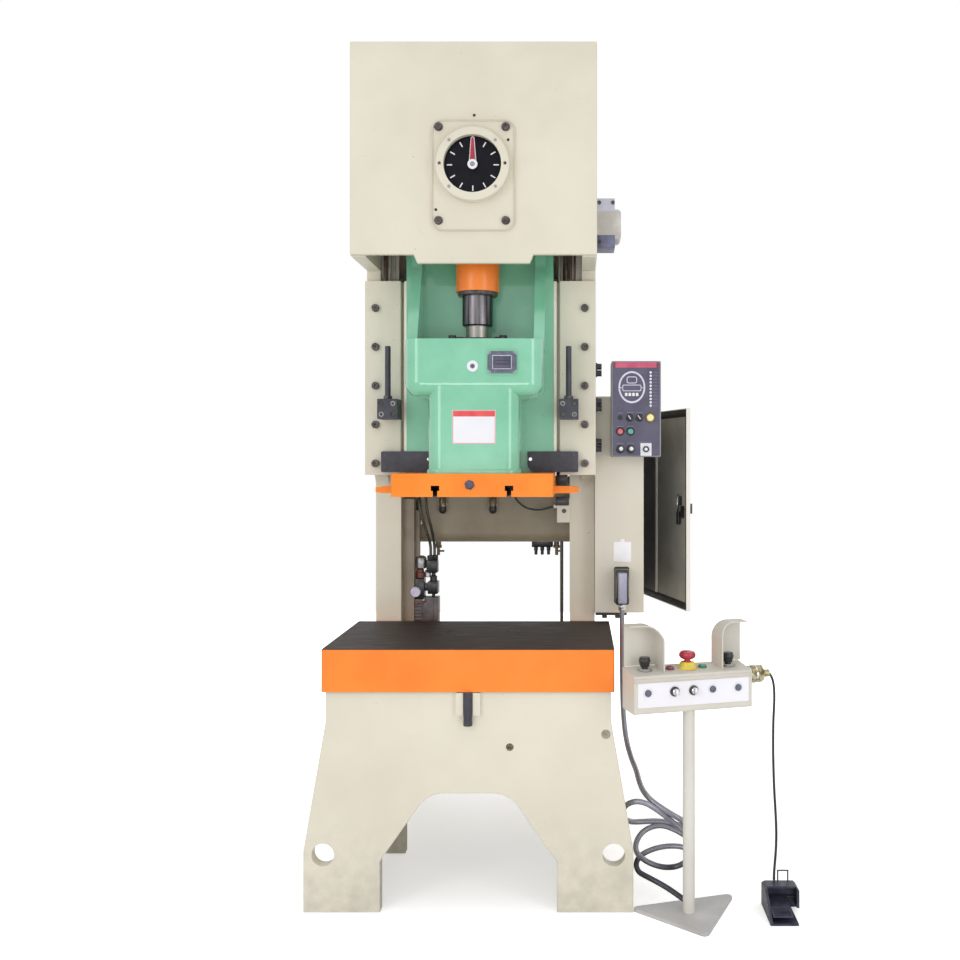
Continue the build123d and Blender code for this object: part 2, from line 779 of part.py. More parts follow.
def dial_housing():
    """Square plate with rounded corners and the raised ring round the crank angle dial."""
    front = -head_front - cover_plate
    half_w, half_h = dial_plate_width / 2, dial_plate_height / 2
    points = [(-half_w, dial_z - half_h), (half_w, dial_z - half_h), (half_w, dial_z + half_h),
              (-half_w, dial_z + half_h)]
    plate = front_profile(points, [38] * 4, front - dial_plate_wall, dial_plate_wall)
    ring = along_y(0, front - dial_depth, crank_z, dial_ring_r, dial_depth - dial_plate_wall)
    ring = fillet(ring.edges().filter_by(GeomType.CIRCLE).sort_by(Axis.Y)[0], 7)
    ring -= along_y(0, front - dial_depth - 1, crank_z, dial_face_r, dial_depth - dial_plate_wall - 8)
    housing = plate + ring
    for x in (-128, 120):
        for z in (dial_z - 167, dial_z + 179):
            head = along_y(x, front - dial_plate_wall - 8, z, 12, 8)
            housing += chamfer(head.edges().filter_by(GeomType.CIRCLE).sort_by(Axis.Y)[0], 2)
    return housing - along_y(0, front - dial_depth, crank_z, dial_shaft_r + dial_shaft_gap, dial_depth + 1)


def dial_pointer():
    """Pointer on the crankshaft's front end."""
    y = -head_front - cover_plate - dial_depth + 13
    tip_z = crank_z + pointer_length
    points = [(-11, crank_z), (11, crank_z), (4, tip_z - 4), (0, tip_z), (-4, tip_z - 4)]
    pointer = front_profile(points, [0] * 5, y, pointer_wall)
    pointer += along_y(0, y, crank_z, pointer_hub_r, pointer_wall + 3)
    return pointer - along_y(0, y - 1, crank_z, dial_shaft_r, pointer_wall + 6)


def flywheel():
    """Cast flywheel with a belt track, a web with round openings and a long hub."""
    y0, y1 = wheel_start, wheel_start + wheel_wall
    middle = (y0 + y1) / 2
    wheel = along_y(0, y0, crank_z, wheel_r, wheel_wall)
    for y, depth in ((y0 - 1, (wheel_wall - wheel_web) / 2 + 1), (middle + wheel_web / 2, wheel_wall)):
        recess = along_y(0, y, crank_z, wheel_r - wheel_rim, depth)
        wheel -= recess - along_y(0, y - 1, crank_z, wheel_hub_r, depth + 2)
    for i in range(6):
        angle = math.radians(60 * i + 30)
        mid_r = (wheel_r - wheel_rim + wheel_hub_r) / 2
        x, z = mid_r * math.cos(angle), crank_z + mid_r * math.sin(angle)
        wheel -= along_y(x, y0, z, 62, wheel_wall)
    track = belt_count * (belt_width + belt_gap) - belt_gap + 2
    band = along_y(0, middle - track / 2, crank_z, wheel_r + 1, track)
    wheel -= band - along_y(0, middle - track / 2 - 1, crank_z, wheel_r - belt_track, track + 2)
    return wheel - along_y(0, y0 - 1, crank_z, journal_r + running_gap, wheel_wall + 2)


def clutch_hub():
    """Pneumatic clutch and brake drum keyed to the crankshaft behind the flywheel."""
    y = wheel_start + wheel_wall + clutch_gap
    drum = along_y(0, y, crank_z, clutch_r, clutch_wall)
    drum = chamfer(drum.edges().filter_by(GeomType.CIRCLE), 4)
    for i in range(8):
        angle = math.radians(45 * i)
        drum += along_y(150 * math.cos(angle), y + clutch_wall, crank_z + 150 * math.sin(angle), 12, 8)
    return drum - along_y(0, y - 1, crank_z, journal_r, clutch_wall + 2)


def motor_pulley():
    """Grooved pulley and the motor shaft that it is keyed to."""
    middle = wheel_start + wheel_wall / 2
    pulley = along_y(0, wheel_start, motor_z, pulley_r + 4, wheel_wall)
    track = belt_count * (belt_width + belt_gap) - belt_gap + 2
    band = along_y(0, middle - track / 2, motor_z, pulley_r + 5, track)
    pulley -= band - along_y(0, middle - track / 2 - 1, motor_z, pulley_r - belt_track, track + 2)
    return pulley + along_y(0, motor_end - 180, motor_z, motor_shaft_r, wheel_start - motor_end + 180)


def belt_loops():
    """Three belts from the motor pulley to the flywheel, each a loop of two arcs and two straights."""
    loops = []
    middle = wheel_start + wheel_wall / 2
    inner_big, inner_small = wheel_r - belt_track + side_gap, pulley_r - belt_track + side_gap
    for i in range(belt_count):
        y = middle + (i - (belt_count - 1) / 2) * (belt_width + belt_gap) - belt_width / 2
        outer = belt_solid(inner_big + belt_wall, inner_small + belt_wall, y, belt_width)
        loops.append(outer - belt_solid(inner_big, inner_small, y - 1, belt_width + 2))
    return loops


def belt_solid(big_r, small_r, y, width):
    """Everything inside one open belt line round the two wheels."""
    span = crank_z - motor_z
    lean = math.asin((big_r - small_r) / span)
    big_x, big_z = big_r * math.cos(lean), crank_z - big_r * math.sin(lean)
    small_x, small_z = small_r * math.cos(lean), motor_z - small_r * math.sin(lean)
    points = [(-big_x, big_z), (-small_x, small_z), (small_x, small_z), (big_x, big_z)]
    web = front_profile(points, [0] * 4, y, width)
    return web + along_y(0, y, crank_z, big_r, width) + along_y(0, y, motor_z, small_r, width)


def motor():
    """Foot-mounted drive motor with cooling fins and a terminal box."""
    body = along_y(0, motor_start, motor_z, motor_r - 12, motor_end - motor_start)
    for i in range(24):
        fin = block(-2.5, 2.5, motor_start + 45, motor_end - 30, motor_r - 16, motor_r)
        body += Pos(0, 0, motor_z) * Rot(0, 15 * i, 0) * fin
    for y in (motor_start, motor_end - 26):
        ring = along_y(0, y, motor_z, motor_r, 26)
        body += fillet(ring.edges().filter_by(GeomType.CIRCLE), 5)
    for side in (-1, 1):
        x = side * 85
        body += block(x - 22, x + 22, motor_start + 50, motor_end - 50, shelf_z, motor_z - motor_r * 0.6)
    body += block(motor_r - 30, motor_r + 34, 830, 930, motor_z - 20, motor_z + 60)
    return body - along_y(0, motor_end - 180, motor_z, motor_shaft_r + running_gap, 200)


def motor_shelf():
    """Shelf for the motor between the columns."""
    return block(-side_in, side_in, motor_start + 20, frame_back - 30, shelf_z - shelf_wall, shelf_z)


def rear_guard():
    """Sheet guard over flywheel and belts, open below, with an inspection cut-out."""
    y0, y1 = frame_back, guard_end
    outer = block(-guard_half, guard_half, y0, y1, guard_low, guard_high)
    outer = fillet(outer.edges().filter_by(Axis.Y).group_by(Axis.Z)[-1], 120)
    outer = fillet(outer.edges().filter_by(Axis.Y).group_by(Axis.Z)[0], 60)
    inner = block(-guard_half + guard_wall, guard_half - guard_wall, y0 - 1, y1 - guard_wall,
                  guard_low + guard_wall, guard_high - guard_wall)
    inner = fillet(inner.edges().filter_by(Axis.Y).group_by(Axis.Z)[-1], 120 - guard_wall)
    guard = outer - fillet(inner.edges().filter_by(Axis.Y).group_by(Axis.Z)[0], 60 - guard_wall)
    for i in range(9):
        z = crank_z - 120 + i * 30
        guard -= block(-150, 150, y1 - guard_wall - 1, y1 + 1, z, z + 12)
    return guard


def air_tank():
    """Air reservoir between the columns, with its two drain cocks underneath."""
    half = side_in - stiffener_wall
    tank = block(-half, half, tank_front, tank_back, tank_low, tank_high)
    tank = fillet(tank.edges().filter_by(Axis.X), tank_round)
    for x, y in cock_places:
        tank += along_z(x, y, tank_low - 8, 26, 10) + along_z(x, y, tank_low - 30, 12, 24)
        tank += hexagon(x, y, tank_low - 40, 15, 12, "z") + along_z(x, y, tank_low - 72, 7, 34)
        tank += block(x - 4, x + 26, y - 4, y + 4, tank_low - 58, tank_low - 50)
    return tank


def cabinet():
    """Sheet cabinet on the right side plate, open to the side where the door is, with its flange,
    the fixed hinge knuckles and the plug hood on its front."""
    outer = block(side_out, cabinet_out, cabinet_front, cabinet_back, cabinet_low, cabinet_high)
    outer = fillet(outer.edges().filter_by(Axis.X), 6)
    inner = block(side_out + sheet, cabinet_out + 1, cabinet_front + sheet, cabinet_back - sheet,
                  cabinet_low + sheet, cabinet_high - sheet)
    box = outer - inner
    rim = block(cabinet_out - sheet, cabinet_out, cabinet_front + 1, cabinet_back - 1, cabinet_low + 1,
                cabinet_high - 1)
    box += rim - block(cabinet_out - 9, cabinet_out + 1, cabinet_front + 24, cabinet_back - 24,
                       door_low + 20, door_high - 20)
    x, y = hinge_line()
    for z in hinge_heights:
        knuckle = along_z(x, y, z - hinge_length / 2, hinge_r, hinge_length / 2 - side_gap)
        knuckle += block(cabinet_out - sheet, x, y - 2, y + 2, z - hinge_length / 2, z - side_gap)
        box += knuckle + along_z(x, y, z - 2, hinge_pin_r, hinge_length / 2)
    hood = block(hood_left, hood_right, cabinet_front - hood_reach, cabinet_front, hood_low, hood_high)
    hood = fillet(hood.edges().filter_by(Axis.X).group_by(Axis.Y)[0], 30)
    box += hood
    for x, width, drop in ((side_out + 2, 130, 14), (side_out + 30, 20, 26), (side_out + 84, 20, 26)):
        box += block(x, x + width, cabinet_front + 30, cabinet_back - 30, cabinet_low - drop, cabinet_low + 1)
    return box


def hinge_line():
    """Where the door's hinge pins stand, seen from above."""
    return cabinet_out + hinge_r + 2, cabinet_back - hinge_r + 6


def swung(shape):
    """A door piece, modelled shut, set ajar as the door stands."""
    x, y = hinge_line()
    return Pos(x, y, 0) * Rot(0, 0, door_open) * Pos(-x, -y, 0) * shape


def cabinet_door():
    """Door of folded sheet with its seal rail and hinge knuckles."""
    x0 = cabinet_out + door_gap
    x1 = x0 + door_fold
    x, y = hinge_line()
    back = y - hinge_r - 2
    outer = block(x0, x1, cabinet_front, back, door_low, door_high)
    outer = fillet(outer.edges().filter_by(Axis.X), 5)
    door = outer - block(x0 - 1, x1 - sheet, cabinet_front + sheet, back - sheet, door_low + sheet,
                         door_high - sheet)
    rail = block(x1 - 9, x1 - sheet, cabinet_front + 60, back - 60, door_low + 60, door_high - 60)
    door += rail - block(x1 - 10, x1, cabinet_front + 76, back - 76, door_low + 76, door_high - 76)
    for z in hinge_heights:
        knuckle = along_z(x, y, z + side_gap, hinge_r, hinge_length / 2)
        knuckle += block(x, x0 + 14, back - 2, y, z + side_gap, z + hinge_length / 2)
        knuckle += block(x0 + 4, x0 + 14, back - 6, y, z + side_gap, z + hinge_length / 2)
        door += knuckle - along_z(x, y, z - 1, hinge_pin_r + running_gap, hinge_length)
    door -= along_x(x0 - 1, cabinet_front + lock_inset, lock_z, lock_shaft_r + running_gap, door_fold + 2)
    return swung(door)


def door_lock():
    """Turning lock: knob outside, spindle and cam inside."""
    y = cabinet_front + lock_inset
    x1 = cabinet_out + door_gap + door_fold
    lock = along_x(x1 - sheet - 18, y, lock_z, lock_shaft_r, 18 + sheet + 4)
    lock += along_x(x1 + side_gap, y, lock_z, 22, 12)
    lock += block(x1 + 11, x1 + 24, y - 6, y + 6, lock_z - 21, lock_z + 21)
    lock += block(x1 - sheet - 18, x1 - sheet - 12, y - 9, y + 9, lock_z - 38, lock_z + 12)
    return swung(lock)


def cabinet_equipment():
    """Mounting plate with wiring ducts, breakers, contactors, drive unit and terminals."""
    x = side_out + sheet
    y0, y1 = cabinet_front + 36, cabinet_back - 36
    z0, z1 = cabinet_low + 36, cabinet_high - 60
    plate = block(x, x + 6, y0, y1, z0, z1)
    for z in (z0 + 10, z0 + 250, z0 + 480, z1 - 50):
        plate += block(x + 6, x + 62, y0 + 10, y1 - 10, z, z + 40)
    for y in (y0 + 10, y1 - 50):
        plate += block(x + 6, x + 62, y, y + 40, z0 + 50, z1 - 50)
    for i in range(8):
        y = y0 + 80 + i * 58
        plate += block(x + 6, x + 78, y, y + 44, z1 - 180, z1 - 95)
    for i in range(6):
        y = y0 + 80 + i * 74
        plate += block(x + 6, x + 96, y, y + 58, z0 + 320, z0 + 420)
    plate += block(x + 6, x + 130, y0 + 80, y0 + 260, z0 + 80, z0 + 220)
    for i in range(9):
        y = y0 + 300 + i * 28
        plate += block(x + 6, x + 54, y, y + 20, z0 + 110, z0 + 190)
    return plate


def operator_panel():
    """Panel box on the cabinet's front, with its round mimic window and the fixed knobs."""
    front = panel_front
    panel = block(panel_left, panel_right, front, cabinet_front, panel_low, panel_high)
    panel = fillet(panel.edges().filter_by(Axis.Y), 6)
    panel = chamfer(panel.faces().sort_by(Axis.Y)[0].edges(), 3)
    for right, up, r, reach in panel_knob_places:
        panel += along_y(panel_left + right, front - reach, panel_low + up, r, reach)
    for right, up in panel_button_places:
        x, z = panel_left + right, panel_low + up
        collar = along_y(x, front - 5, z, panel_button_r + 4, 5)
        panel += collar - along_y(x, front - 6, z, panel_button_r + side_gap, 7)
        panel -= along_y(x, front - 1, z, panel_button_r + side_gap, 26)
    return panel


def panel_button(right, up):
    """Push button that slides into the panel."""
    button = along_y(panel_left + right, panel_front - 12, panel_low + up, panel_button_r, 30)
    return chamfer(button.edges().filter_by(GeomType.CIRCLE).sort_by(Axis.Y)[0], 1.5)


def junction_box():
    """Cam switch box on the head's right side, with its rounded cover."""
    box = block(side_out, box_out - 24, -box_half_depth, box_half_depth, box_low, box_high)
    lid = block(box_out - 24, box_out, -box_half_depth, box_half_depth, box_low + 30, box_high - 42)
    return box + fillet(lid.faces().sort_by(Axis.X)[-1].edges(), 14)


def on_stand(shape):
    """A console piece, modelled with its front left corner at the origin, turned into place."""
    return Pos(stand_x, stand_y, 0) * Rot(0, 0, stand_turn) * shape


def console_top_at(y):
    """Height of the sloping console top at a depth behind its front."""
    return console_front_high + (console_high - console_front_high) * y / console_depth


def console():
    """Sloping control box with its fixed buttons, lamps and the collars for the moving ones."""
    hole = palm_stem + palm_travel + 8
    points = [(0, console_low), (console_depth, console_low), (console_depth, console_high),
              (0, console_front_high)]
    box = side_profile(points, [7, 7, 7, 9], 0, console_length)
    lip = block(2, console_length - 2, -console_lip, 1, console_front_high - 22, console_front_high - 8)
    box += chamfer(lip.edges().filter_by(Axis.X).group_by(Axis.Y)[0], 3)
    for share in fixed_button_places:
        x = share * console_length
        collar = along_y(x, -4, selector_z, selector_r + 3, 4)
        box += chamfer(collar.edges().filter_by(GeomType.CIRCLE).sort_by(Axis.Y)[0], 1)
        box += along_y(x, -8, selector_z, selector_r - 1, 8)
    for share in selector_places:
        x = share * console_length
        box += along_y(x, -4, selector_z, selector_r + 3, 4)
        box -= along_y(x, -5, selector_z, selector_r - 3 + running_gap, 30)
    for share in lamp_places:
        x = share * console_length
        box += along_z(x, palm_y - 6, console_top_at(palm_y) - 8, 14, 16)
    for x in palm_places():
        box += along_z(x, palm_y, console_top_at(palm_y) - 6, palm_r - 2, 10)
        box -= along_z(x, palm_y, console_top_at(palm_y) - hole, palm_stem_r + running_gap, hole + 20)
    x = stop_place * console_length
    box += along_z(x, palm_y, console_top_at(palm_y) - 6, stop_r + 5, 12)
    box -= along_z(x, palm_y, console_top_at(palm_y) - hole, palm_stem_r + running_gap, hole + 20)
    return on_stand(box)


def palm_places():
    """Where the two palm buttons stand along the console."""
    return palm_inset, console_length - palm_inset


def palm_button(x, cap_r, cap_height, rise):
    """Mushroom button: stem in the console, conical cap above its collar."""
    z = console_top_at(palm_y)
    button = turned([(0, z - palm_stem), (palm_stem_r, z - palm_stem), (palm_stem_r, z + rise),
                     (cap_r * 0.72, z + rise), (cap_r, z + rise + cap_height * 0.7),
                     (cap_r - 3, z + rise + cap_height), (0, z + rise + cap_height)], x, palm_y)
    return on_stand(button)


def console_selector(share):
    """Selector knob with a grip rib, on a round shaft in the console's front."""
    x = share * console_length
    knob = along_y(x, -18, selector_z, selector_r, 13.7)
    knob = chamfer(knob.edges().filter_by(GeomType.CIRCLE).sort_by(Axis.Y)[0], 2)
    knob += along_y(x, -5, selector_z, selector_r - 3, 22)
    return on_stand(knob + block(x - 3, x + 3, -24, -17, selector_z - 11, selector_z + 11))


def palm_guards():
    """Two bent sheet hoods over the palm buttons, open in front and to the outside."""
    guards = []
    for side, (x0, width) in zip((-1, 1), guard_places):
        z0, z1 = console_top_at(30) - 2, console_high + guard_height
        outer = block(x0 - guard_reach, x0 + width + guard_reach, 26, console_depth - 2, z0 - 40, z1)
        inner = block(x0 - guard_reach + guard_sheet, x0 + width + guard_reach - guard_sheet, 25,
                      console_depth - 2 - guard_sheet, z0 - 41, z1 - guard_sheet)
        shift = side * guard_reach
        outer = fillet((Pos(shift, 0, 0) * outer).edges().filter_by(Axis.Y).group_by(Axis.Z)[-1], guard_round)
        inner = fillet((Pos(shift, 0, 0) * inner).edges().filter_by(Axis.Y).group_by(Axis.Z)[-1],
                       guard_round - guard_sheet)
        keep = block(x0, x0 + width, 0, console_depth, z0, z1 + 1)
        hood = (outer - inner) & keep
        hood -= side_profile([(20, z1 - 54), (60, z1 + 2), (20, z1 + 2)], [0, 0, 0], x0 - 1, width + 2)
        top_points = [(0, console_low), (console_depth, console_low), (console_depth, console_high),
                      (0, console_front_high)]
        hood -= side_profile(top_points, [0] * 4, x0 - 1, width + 2)
        guards.append(on_stand(hood))
    return guards


def control_stand():
    """Post welded on a three-cornered base plate."""
    base = plan_profile(list(base_corners), [base_round] * 3, 0, base_wall)
    base = chamfer(base.faces().sort_by(Axis.Z)[-1].edges(), 2)
    return base + along_z(post_x, post_y, base_wall, post_r, console_low - base_wall)


def cable_gland():
    """Brass cable gland at the console's right end."""
    y, x = gland_y, console_length
    gland = along_x(x, y, gland_z, gland_r, 36)
    gland += hexagon(x + 10, y, gland_z, gland_r + 5, 22, "x")
    gland += hexagon(x + 36, y, gland_z, gland_r + 4, 20, "x")
    gland += along_x(x + 36, y, gland_z, gland_nose_r + 4, gland_length - 36)
    return on_stand(gland)


def foot_switch():
    """Cast foot switch: base plate and a hood with chamfered corners, open to the front, its right
    cheek short and clear of the base, and its carrying bail."""
    points = [(pedal_y0, 0), (pedal_y1, 0), (pedal_y1, pedal_roof - 12), (pedal_y1 - 10, pedal_roof),
              (pedal_roof_front, pedal_roof), (pedal_y0, 12)]
    housing = side_profile(points, [0, 0, 0, 8, 4, 4], pedal_x0, pedal_x1 - pedal_x0)
    front_points = [(pedal_x0, -1), (pedal_x1, -1), (pedal_x1, pedal_roof - pedal_corner),
                    (pedal_x1 - pedal_corner, pedal_roof), (pedal_x0 + pedal_corner, pedal_roof),
                    (pedal_x0, pedal_roof - pedal_corner)]
    housing = housing & front_profile(front_points, [0] * 6, pedal_y0 - 1, pedal_y1 - pedal_y0 + 2)
    hood_back = pedal_y1 - 30
    cavity = [(pedal_y0 - 1, 8), (hood_back, 8), (hood_back, pedal_roof - 7),
              (pedal_roof_front - 1, pedal_roof - 7), (pedal_roof_front - 1, pedal_roof + 1),
              (pedal_y0 - 1, pedal_roof + 1)]
    housing -= side_profile(cavity, [0, 6, 6, 0, 0, 0], pedal_x0 + pedal_wall,
                            pedal_x1 - pedal_x0 - 2 * pedal_wall)
    housing -= block(pedal_x1 - pedal_wall - 1, pedal_x1 + 1, pedal_y0 - 1, pedal_roof_front - 12, -1,
                     pedal_roof)
    housing -= block(toe_plate_right, pedal_x1 + 1, pedal_y0 - 1, hood_back, -1, pedal_cheek_low)
    for x in (pedal_x0, pedal_x1 - pedal_wall):
        housing -= along_x(x - 1, pedal_axle_y, pedal_axle_z, pedal_axle_r + running_gap, pedal_wall + 2)
    x0, z1, y = (pedal_x0 + pedal_x1) / 2 - 4, pedal_roof + bail_height, pedal_y1 - 14
    housing += along_z(x0, y, pedal_roof - 6, bail_wire, bail_height + 6)
    housing += along_z(x0 + bail_width, y, pedal_roof - 6, bail_wire, bail_height + 6)
    return housing + along_x(x0 - bail_wire, y, z1, bail_wire, bail_width + 2 * bail_wire)


def foot_pedal():
    """Ribbed treadle on a cross axle, higher at the back."""
    x0, x1 = treadle_x
    points = [(pedal_axle_y + 5, pedal_axle_z - 7), (pedal_axle_y + 5, pedal_axle_z + 7),
              (-408, 39), (pedal_y0 + 8, 30), (pedal_y0 + 8, 25), (-408, 32)]
    pedal = side_profile(points, [5, 5, 12, 0, 0, 12], x0, x1 - x0)
    for i in range(6):
        rib_y = pedal_y0 + 14 + i * 8
        pedal += block(x0 + 6, x1 - 6, rib_y, rib_y + 3, 27, 33.5 + i * 0.9)
    return pedal + along_x(pedal_x0, pedal_axle_y, pedal_axle_z, pedal_axle_r, pedal_x1 - pedal_x0)


def tube(route, start_x, r, name):
    """A cord along straight runs joined by tangent arcs, each as large as its runs allow, its route
    measured in x from the place that it starts at."""
    points = [Vector(start_x + x, y, z) for x, y, z in route]
    radii = []
    for before, here, after in zip(points, points[1:], points[2:]):
        turn = math.radians((here - before).get_angle(after - here))
        radii.append(0.45 * min((here - before).length, (after - here).length) / math.tan(turn / 2))
    path = FilletPolyline(*points, radius=radii)
    start = Plane(origin=points[0], z_dir=points[1] - points[0])
    solid = sweep(start * Circle(r), path=path)
    share = solid.volume / (math.pi * r * r * path.length)
    print(f"{name}: length {path.length:.0f}, radii {[round(v) for v in radii]}, volume share {share:.3f}")
    return solid


def conduit_coil():
    """Outer shape of the loose conduit loops beside the leg."""
    ring = Pos(coil_x, coil_y, coil_low) * extrude(Ellipse(coil_half_x, coil_half_y), coil_high - coil_low)
    return chamfer(ring.edges(), 12)


def air_service_unit():
    """Valve box, filter bowls and regulator on a plate held off the left column by two arms."""
    wall = unit_gap - (side_in - stiffener_wall)
    front, back = unit_y - unit_half_depth, unit_y + unit_half_depth
    unit = block(wall, wall + 12, front - 15, back, 925, 1430)
    for z in (1000, 1300):
        unit += block(wall - unit_gap, wall, unit_y - 12, unit_y + 12, z, z + 24)
    unit += block(wall + 12, unit_edge, front, back, 940, 1075)
    unit += block(wall + 12, unit_edge, front + 8, back - 4, 1120, unit_port_z)
    for z, r, height in ((1074, 22, 47), (1179, 24, 80), (1258, 22, 110)):
        unit += along_z(wall + 34.5, unit_y, z, r, height)
    unit += block(wall + 11, wall + 40.5, unit_y - 14, unit_y + 14, 1070, 1390)
    unit += turned([(0, unit_port_z - 1), (16, unit_port_z - 1), (22, 1192), (22, 1214), (14, 1224),
                    (0, 1224)], wall + 84.5, unit_y)
    return unit


def cable_bracket():
    """Bracket on the inside of the right column for the ram cable's gland."""
    plate = block(side_in - 102.5, side_in - stiffener_wall, throat_depth - 15, throat_depth + 15, 1333, 1432)
    return plate + along_x(side_in - 117.5, 337, 1400, ram_cable_r + 4, 16)


def column_pipe():
    """Air pipe from the tank down to the bed beside the right column."""
    return along_z(side_in - 85.5, 500, bed_top, 7, tank_low - bed_top)


def write_parts():
    os.makedirs("parts", exist_ok=True)
    save("side_plate_right", side_plate(adjuster_heights) + cable_bracket())
    save("side_plate_left", mirrored(side_plate(())))
    save("front_leg_plate", front_leg_plate())
    save("bed_frame", bed_frame())
    save("head_front_plate", head_front_plate())
    save("head_shell", head_shell() + motor_shelf())
    save("bolster", bolster())
    save("gib_block_right", gib_block())
    save("gib_block_left", mirrored(gib_block()))
    save("gib_liners", gib_liner(), mirrored(gib_liner()))
    save("gib_cover_right", gib_cover())
    save("gib_cover_left", mirrored(gib_cover()))
    save("gib_cover_screws", *gib_cover_screws())
    save("adjusting_bolts", *gib_adjusters(), clamp_screw())
    save("knockout_stops", *knockout_stops())
    save("crank_bushes", crank_bush(-head_front, bearing_wall), crank_bush(middle_wall_y, middle_wall),
         crank_bush(frame_back - rear_wall, rear_wall))
    save("dial_housing", dial_housing())
    save("air_tank", air_tank())
    save("motor", motor())
    save("drive_belts", *belt_loops())
    save("rear_guard", rear_guard())
    save("cabinet", cabinet())
    save("cabinet_equipment", cabinet_equipment())
    save("operator_panel", operator_panel())
    save("junction_box", junction_box())
    save("control_box", console())
    save("control_stand", control_stand())
    save("palm_guards", *palm_guards())
    save("cable_gland", cable_gland())
    save("foot_switch", foot_switch())
    save("foot_cord", tube(foot_cord_route, stand_x, foot_cord_r, "foot_cord"))
    save("conduit_upper", tube(conduit_upper_route, side_out, conduit_r, "conduit_upper"))
    save("conduit_coil", conduit_coil())
    save("conduit_lower", tube(conduit_lower_route, side_out, conduit_r, "conduit_lower"))
    save("ram_cable", tube(ram_cable_route, side_in, ram_cable_r, "ram_cable"))
    save("air_service_unit", air_service_unit())
    hoses = [tube(route, -side_in, hose_r, "air hose") for route in hose_routes]
    save("air_hoses", *hoses, column_pipe())
    save("crankshaft", crankshaft())
    save("dial_pointer", dial_pointer())
    save("clutch_hub", clutch_hub())
    save("connecting_rod", connecting_rod())
    save("rod_collar", rod_collar())
    save("adjusting_screw", adjusting_screw())
    save("ram", ram_casting() + gauge_pad())
    save("ball_cap", ball_cap())
    save("slide_plate", slide_plate())
    save("wing_plates", *wing_plate_pair())
    save("knockout_bar", knockout_bar())
    save("flywheel", flywheel())
    save("motor_pulley", motor_pulley())
    save("cabinet_door", cabinet_door())
    save("door_lock", door_lock())
    left, right = palm_places()
    save("palm_button_left", palm_button(left, palm_r, palm_height, palm_rise))
    save("palm_button_right", palm_button(right, palm_r, palm_height, palm_rise))
    save("emergency_stop", palm_button(stop_place * console_length, stop_r, stop_cap_height, stop_rise))
    save("foot_pedal", foot_pedal())
    save("stand_selector_left", console_selector(selector_places[0]))
    save("stand_selector_right", console_selector(selector_places[1]))
    save("panel_stop_button", panel_button(*panel_button_places[0]))
    save("panel_start_button", panel_button(*panel_button_places[1]))


write_parts()
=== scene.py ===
import bpy
import math
from mathutils import Matrix, Vector


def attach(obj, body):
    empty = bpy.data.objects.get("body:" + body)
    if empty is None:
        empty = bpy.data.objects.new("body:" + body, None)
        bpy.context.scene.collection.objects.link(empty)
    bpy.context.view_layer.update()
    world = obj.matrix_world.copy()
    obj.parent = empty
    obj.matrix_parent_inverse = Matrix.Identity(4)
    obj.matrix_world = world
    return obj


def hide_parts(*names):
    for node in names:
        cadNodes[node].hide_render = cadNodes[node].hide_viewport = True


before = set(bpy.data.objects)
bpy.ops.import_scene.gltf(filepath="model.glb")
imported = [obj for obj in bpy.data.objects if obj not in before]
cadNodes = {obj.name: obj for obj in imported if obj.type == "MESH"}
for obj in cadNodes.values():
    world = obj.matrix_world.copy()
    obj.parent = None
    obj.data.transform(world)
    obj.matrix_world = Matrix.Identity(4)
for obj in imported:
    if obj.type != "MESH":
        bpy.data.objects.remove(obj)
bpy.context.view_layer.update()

bolsterTop = 0.930  # height of the bolster's top above the floor, where the frame has its zero
bpy.ops.object.select_all(action="DESELECT")
print("stage: model loaded,", len(cadNodes), "nodes")


def at(x, y, z):
    return Vector((x, y, z - bolsterTop))  # a place measured up from the floor, in metres


def spot(x, y, z):
    return at(x / 1000, y / 1000, z / 1000)  # the same in millimetres


def paint(red, green, blue):
    # screen shades from 0 to 255 as the linear colour that a shader reads
    shades = [v / 255 for v in (red, green, blue)]
    return tuple(s / 12.92 if s <= 0.04045 else ((s + 0.055) / 1.055) ** 2.4 for s in shades) + (1,)


# Finishes: worked out from each piece's own Object coordinates.

finishDefaults = {
    "tone": (220, 214, 197), "second": (212, 206, 188), "cloud": 2.5, "cloudSoft": 0.55, "stretch": (1, 1, 1),
    "grain": 90, "grainSpan": (0.3, 0.7), "rough": (0.32, 0.46),
    "bumpScale": 260, "bump": 0.04, "bumpDepth": 0.0006,
    "metal": 0.0, "coat": 0.0, "specular": 0.5, "glow": 0.0,
    "specks": 0.0, "speckTone": (90, 80, 66), "speckScale": 60, "speckSpan": (0.72, 0.78),
    "speckGain": 0.1, "speckCover": 0.7,
    "floorDust": 0.0, "dustTone": (128, 126, 124), "dustHeight": 0.35,
    "dustScale": 14, "dustSpan": (0.35, 0.7),
    "split": None, "splitTone": (60, 60, 60), "splitSoft": 0.0006, "splitShade": 0.86,
}


def link(tree, source, target):
    tree.links.new(source, target)


def addNode(tree, kind, **values):
    node = tree.nodes.new(kind)
    for name, value in values.items():
        setattr(node, name, value)
    return node


def addPlace(tree):
    return addNode(tree, "ShaderNodeTexCoord").outputs["Object"]


def addAxes(tree, place):
    axes = addNode(tree, "ShaderNodeSeparateXYZ")
    link(tree, place, axes.inputs["Vector"])
    return axes.outputs


def addStretch(tree, place, scale):
    mapping = addNode(tree, "ShaderNodeMapping")
    mapping.inputs["Scale"].default_value = scale
    link(tree, place, mapping.inputs["Vector"])
    return mapping.outputs["Vector"]


def addNoise(tree, vector, scale, detail=3.0, roughness=0.55):
    noise = addNode(tree, "ShaderNodeTexNoise")
    noise.inputs["Scale"].default_value = scale
    noise.inputs["Detail"].default_value = detail
    noise.inputs["Roughness"].default_value = roughness
    link(tree, vector, noise.inputs["Vector"])
    return noise.outputs["Fac"]


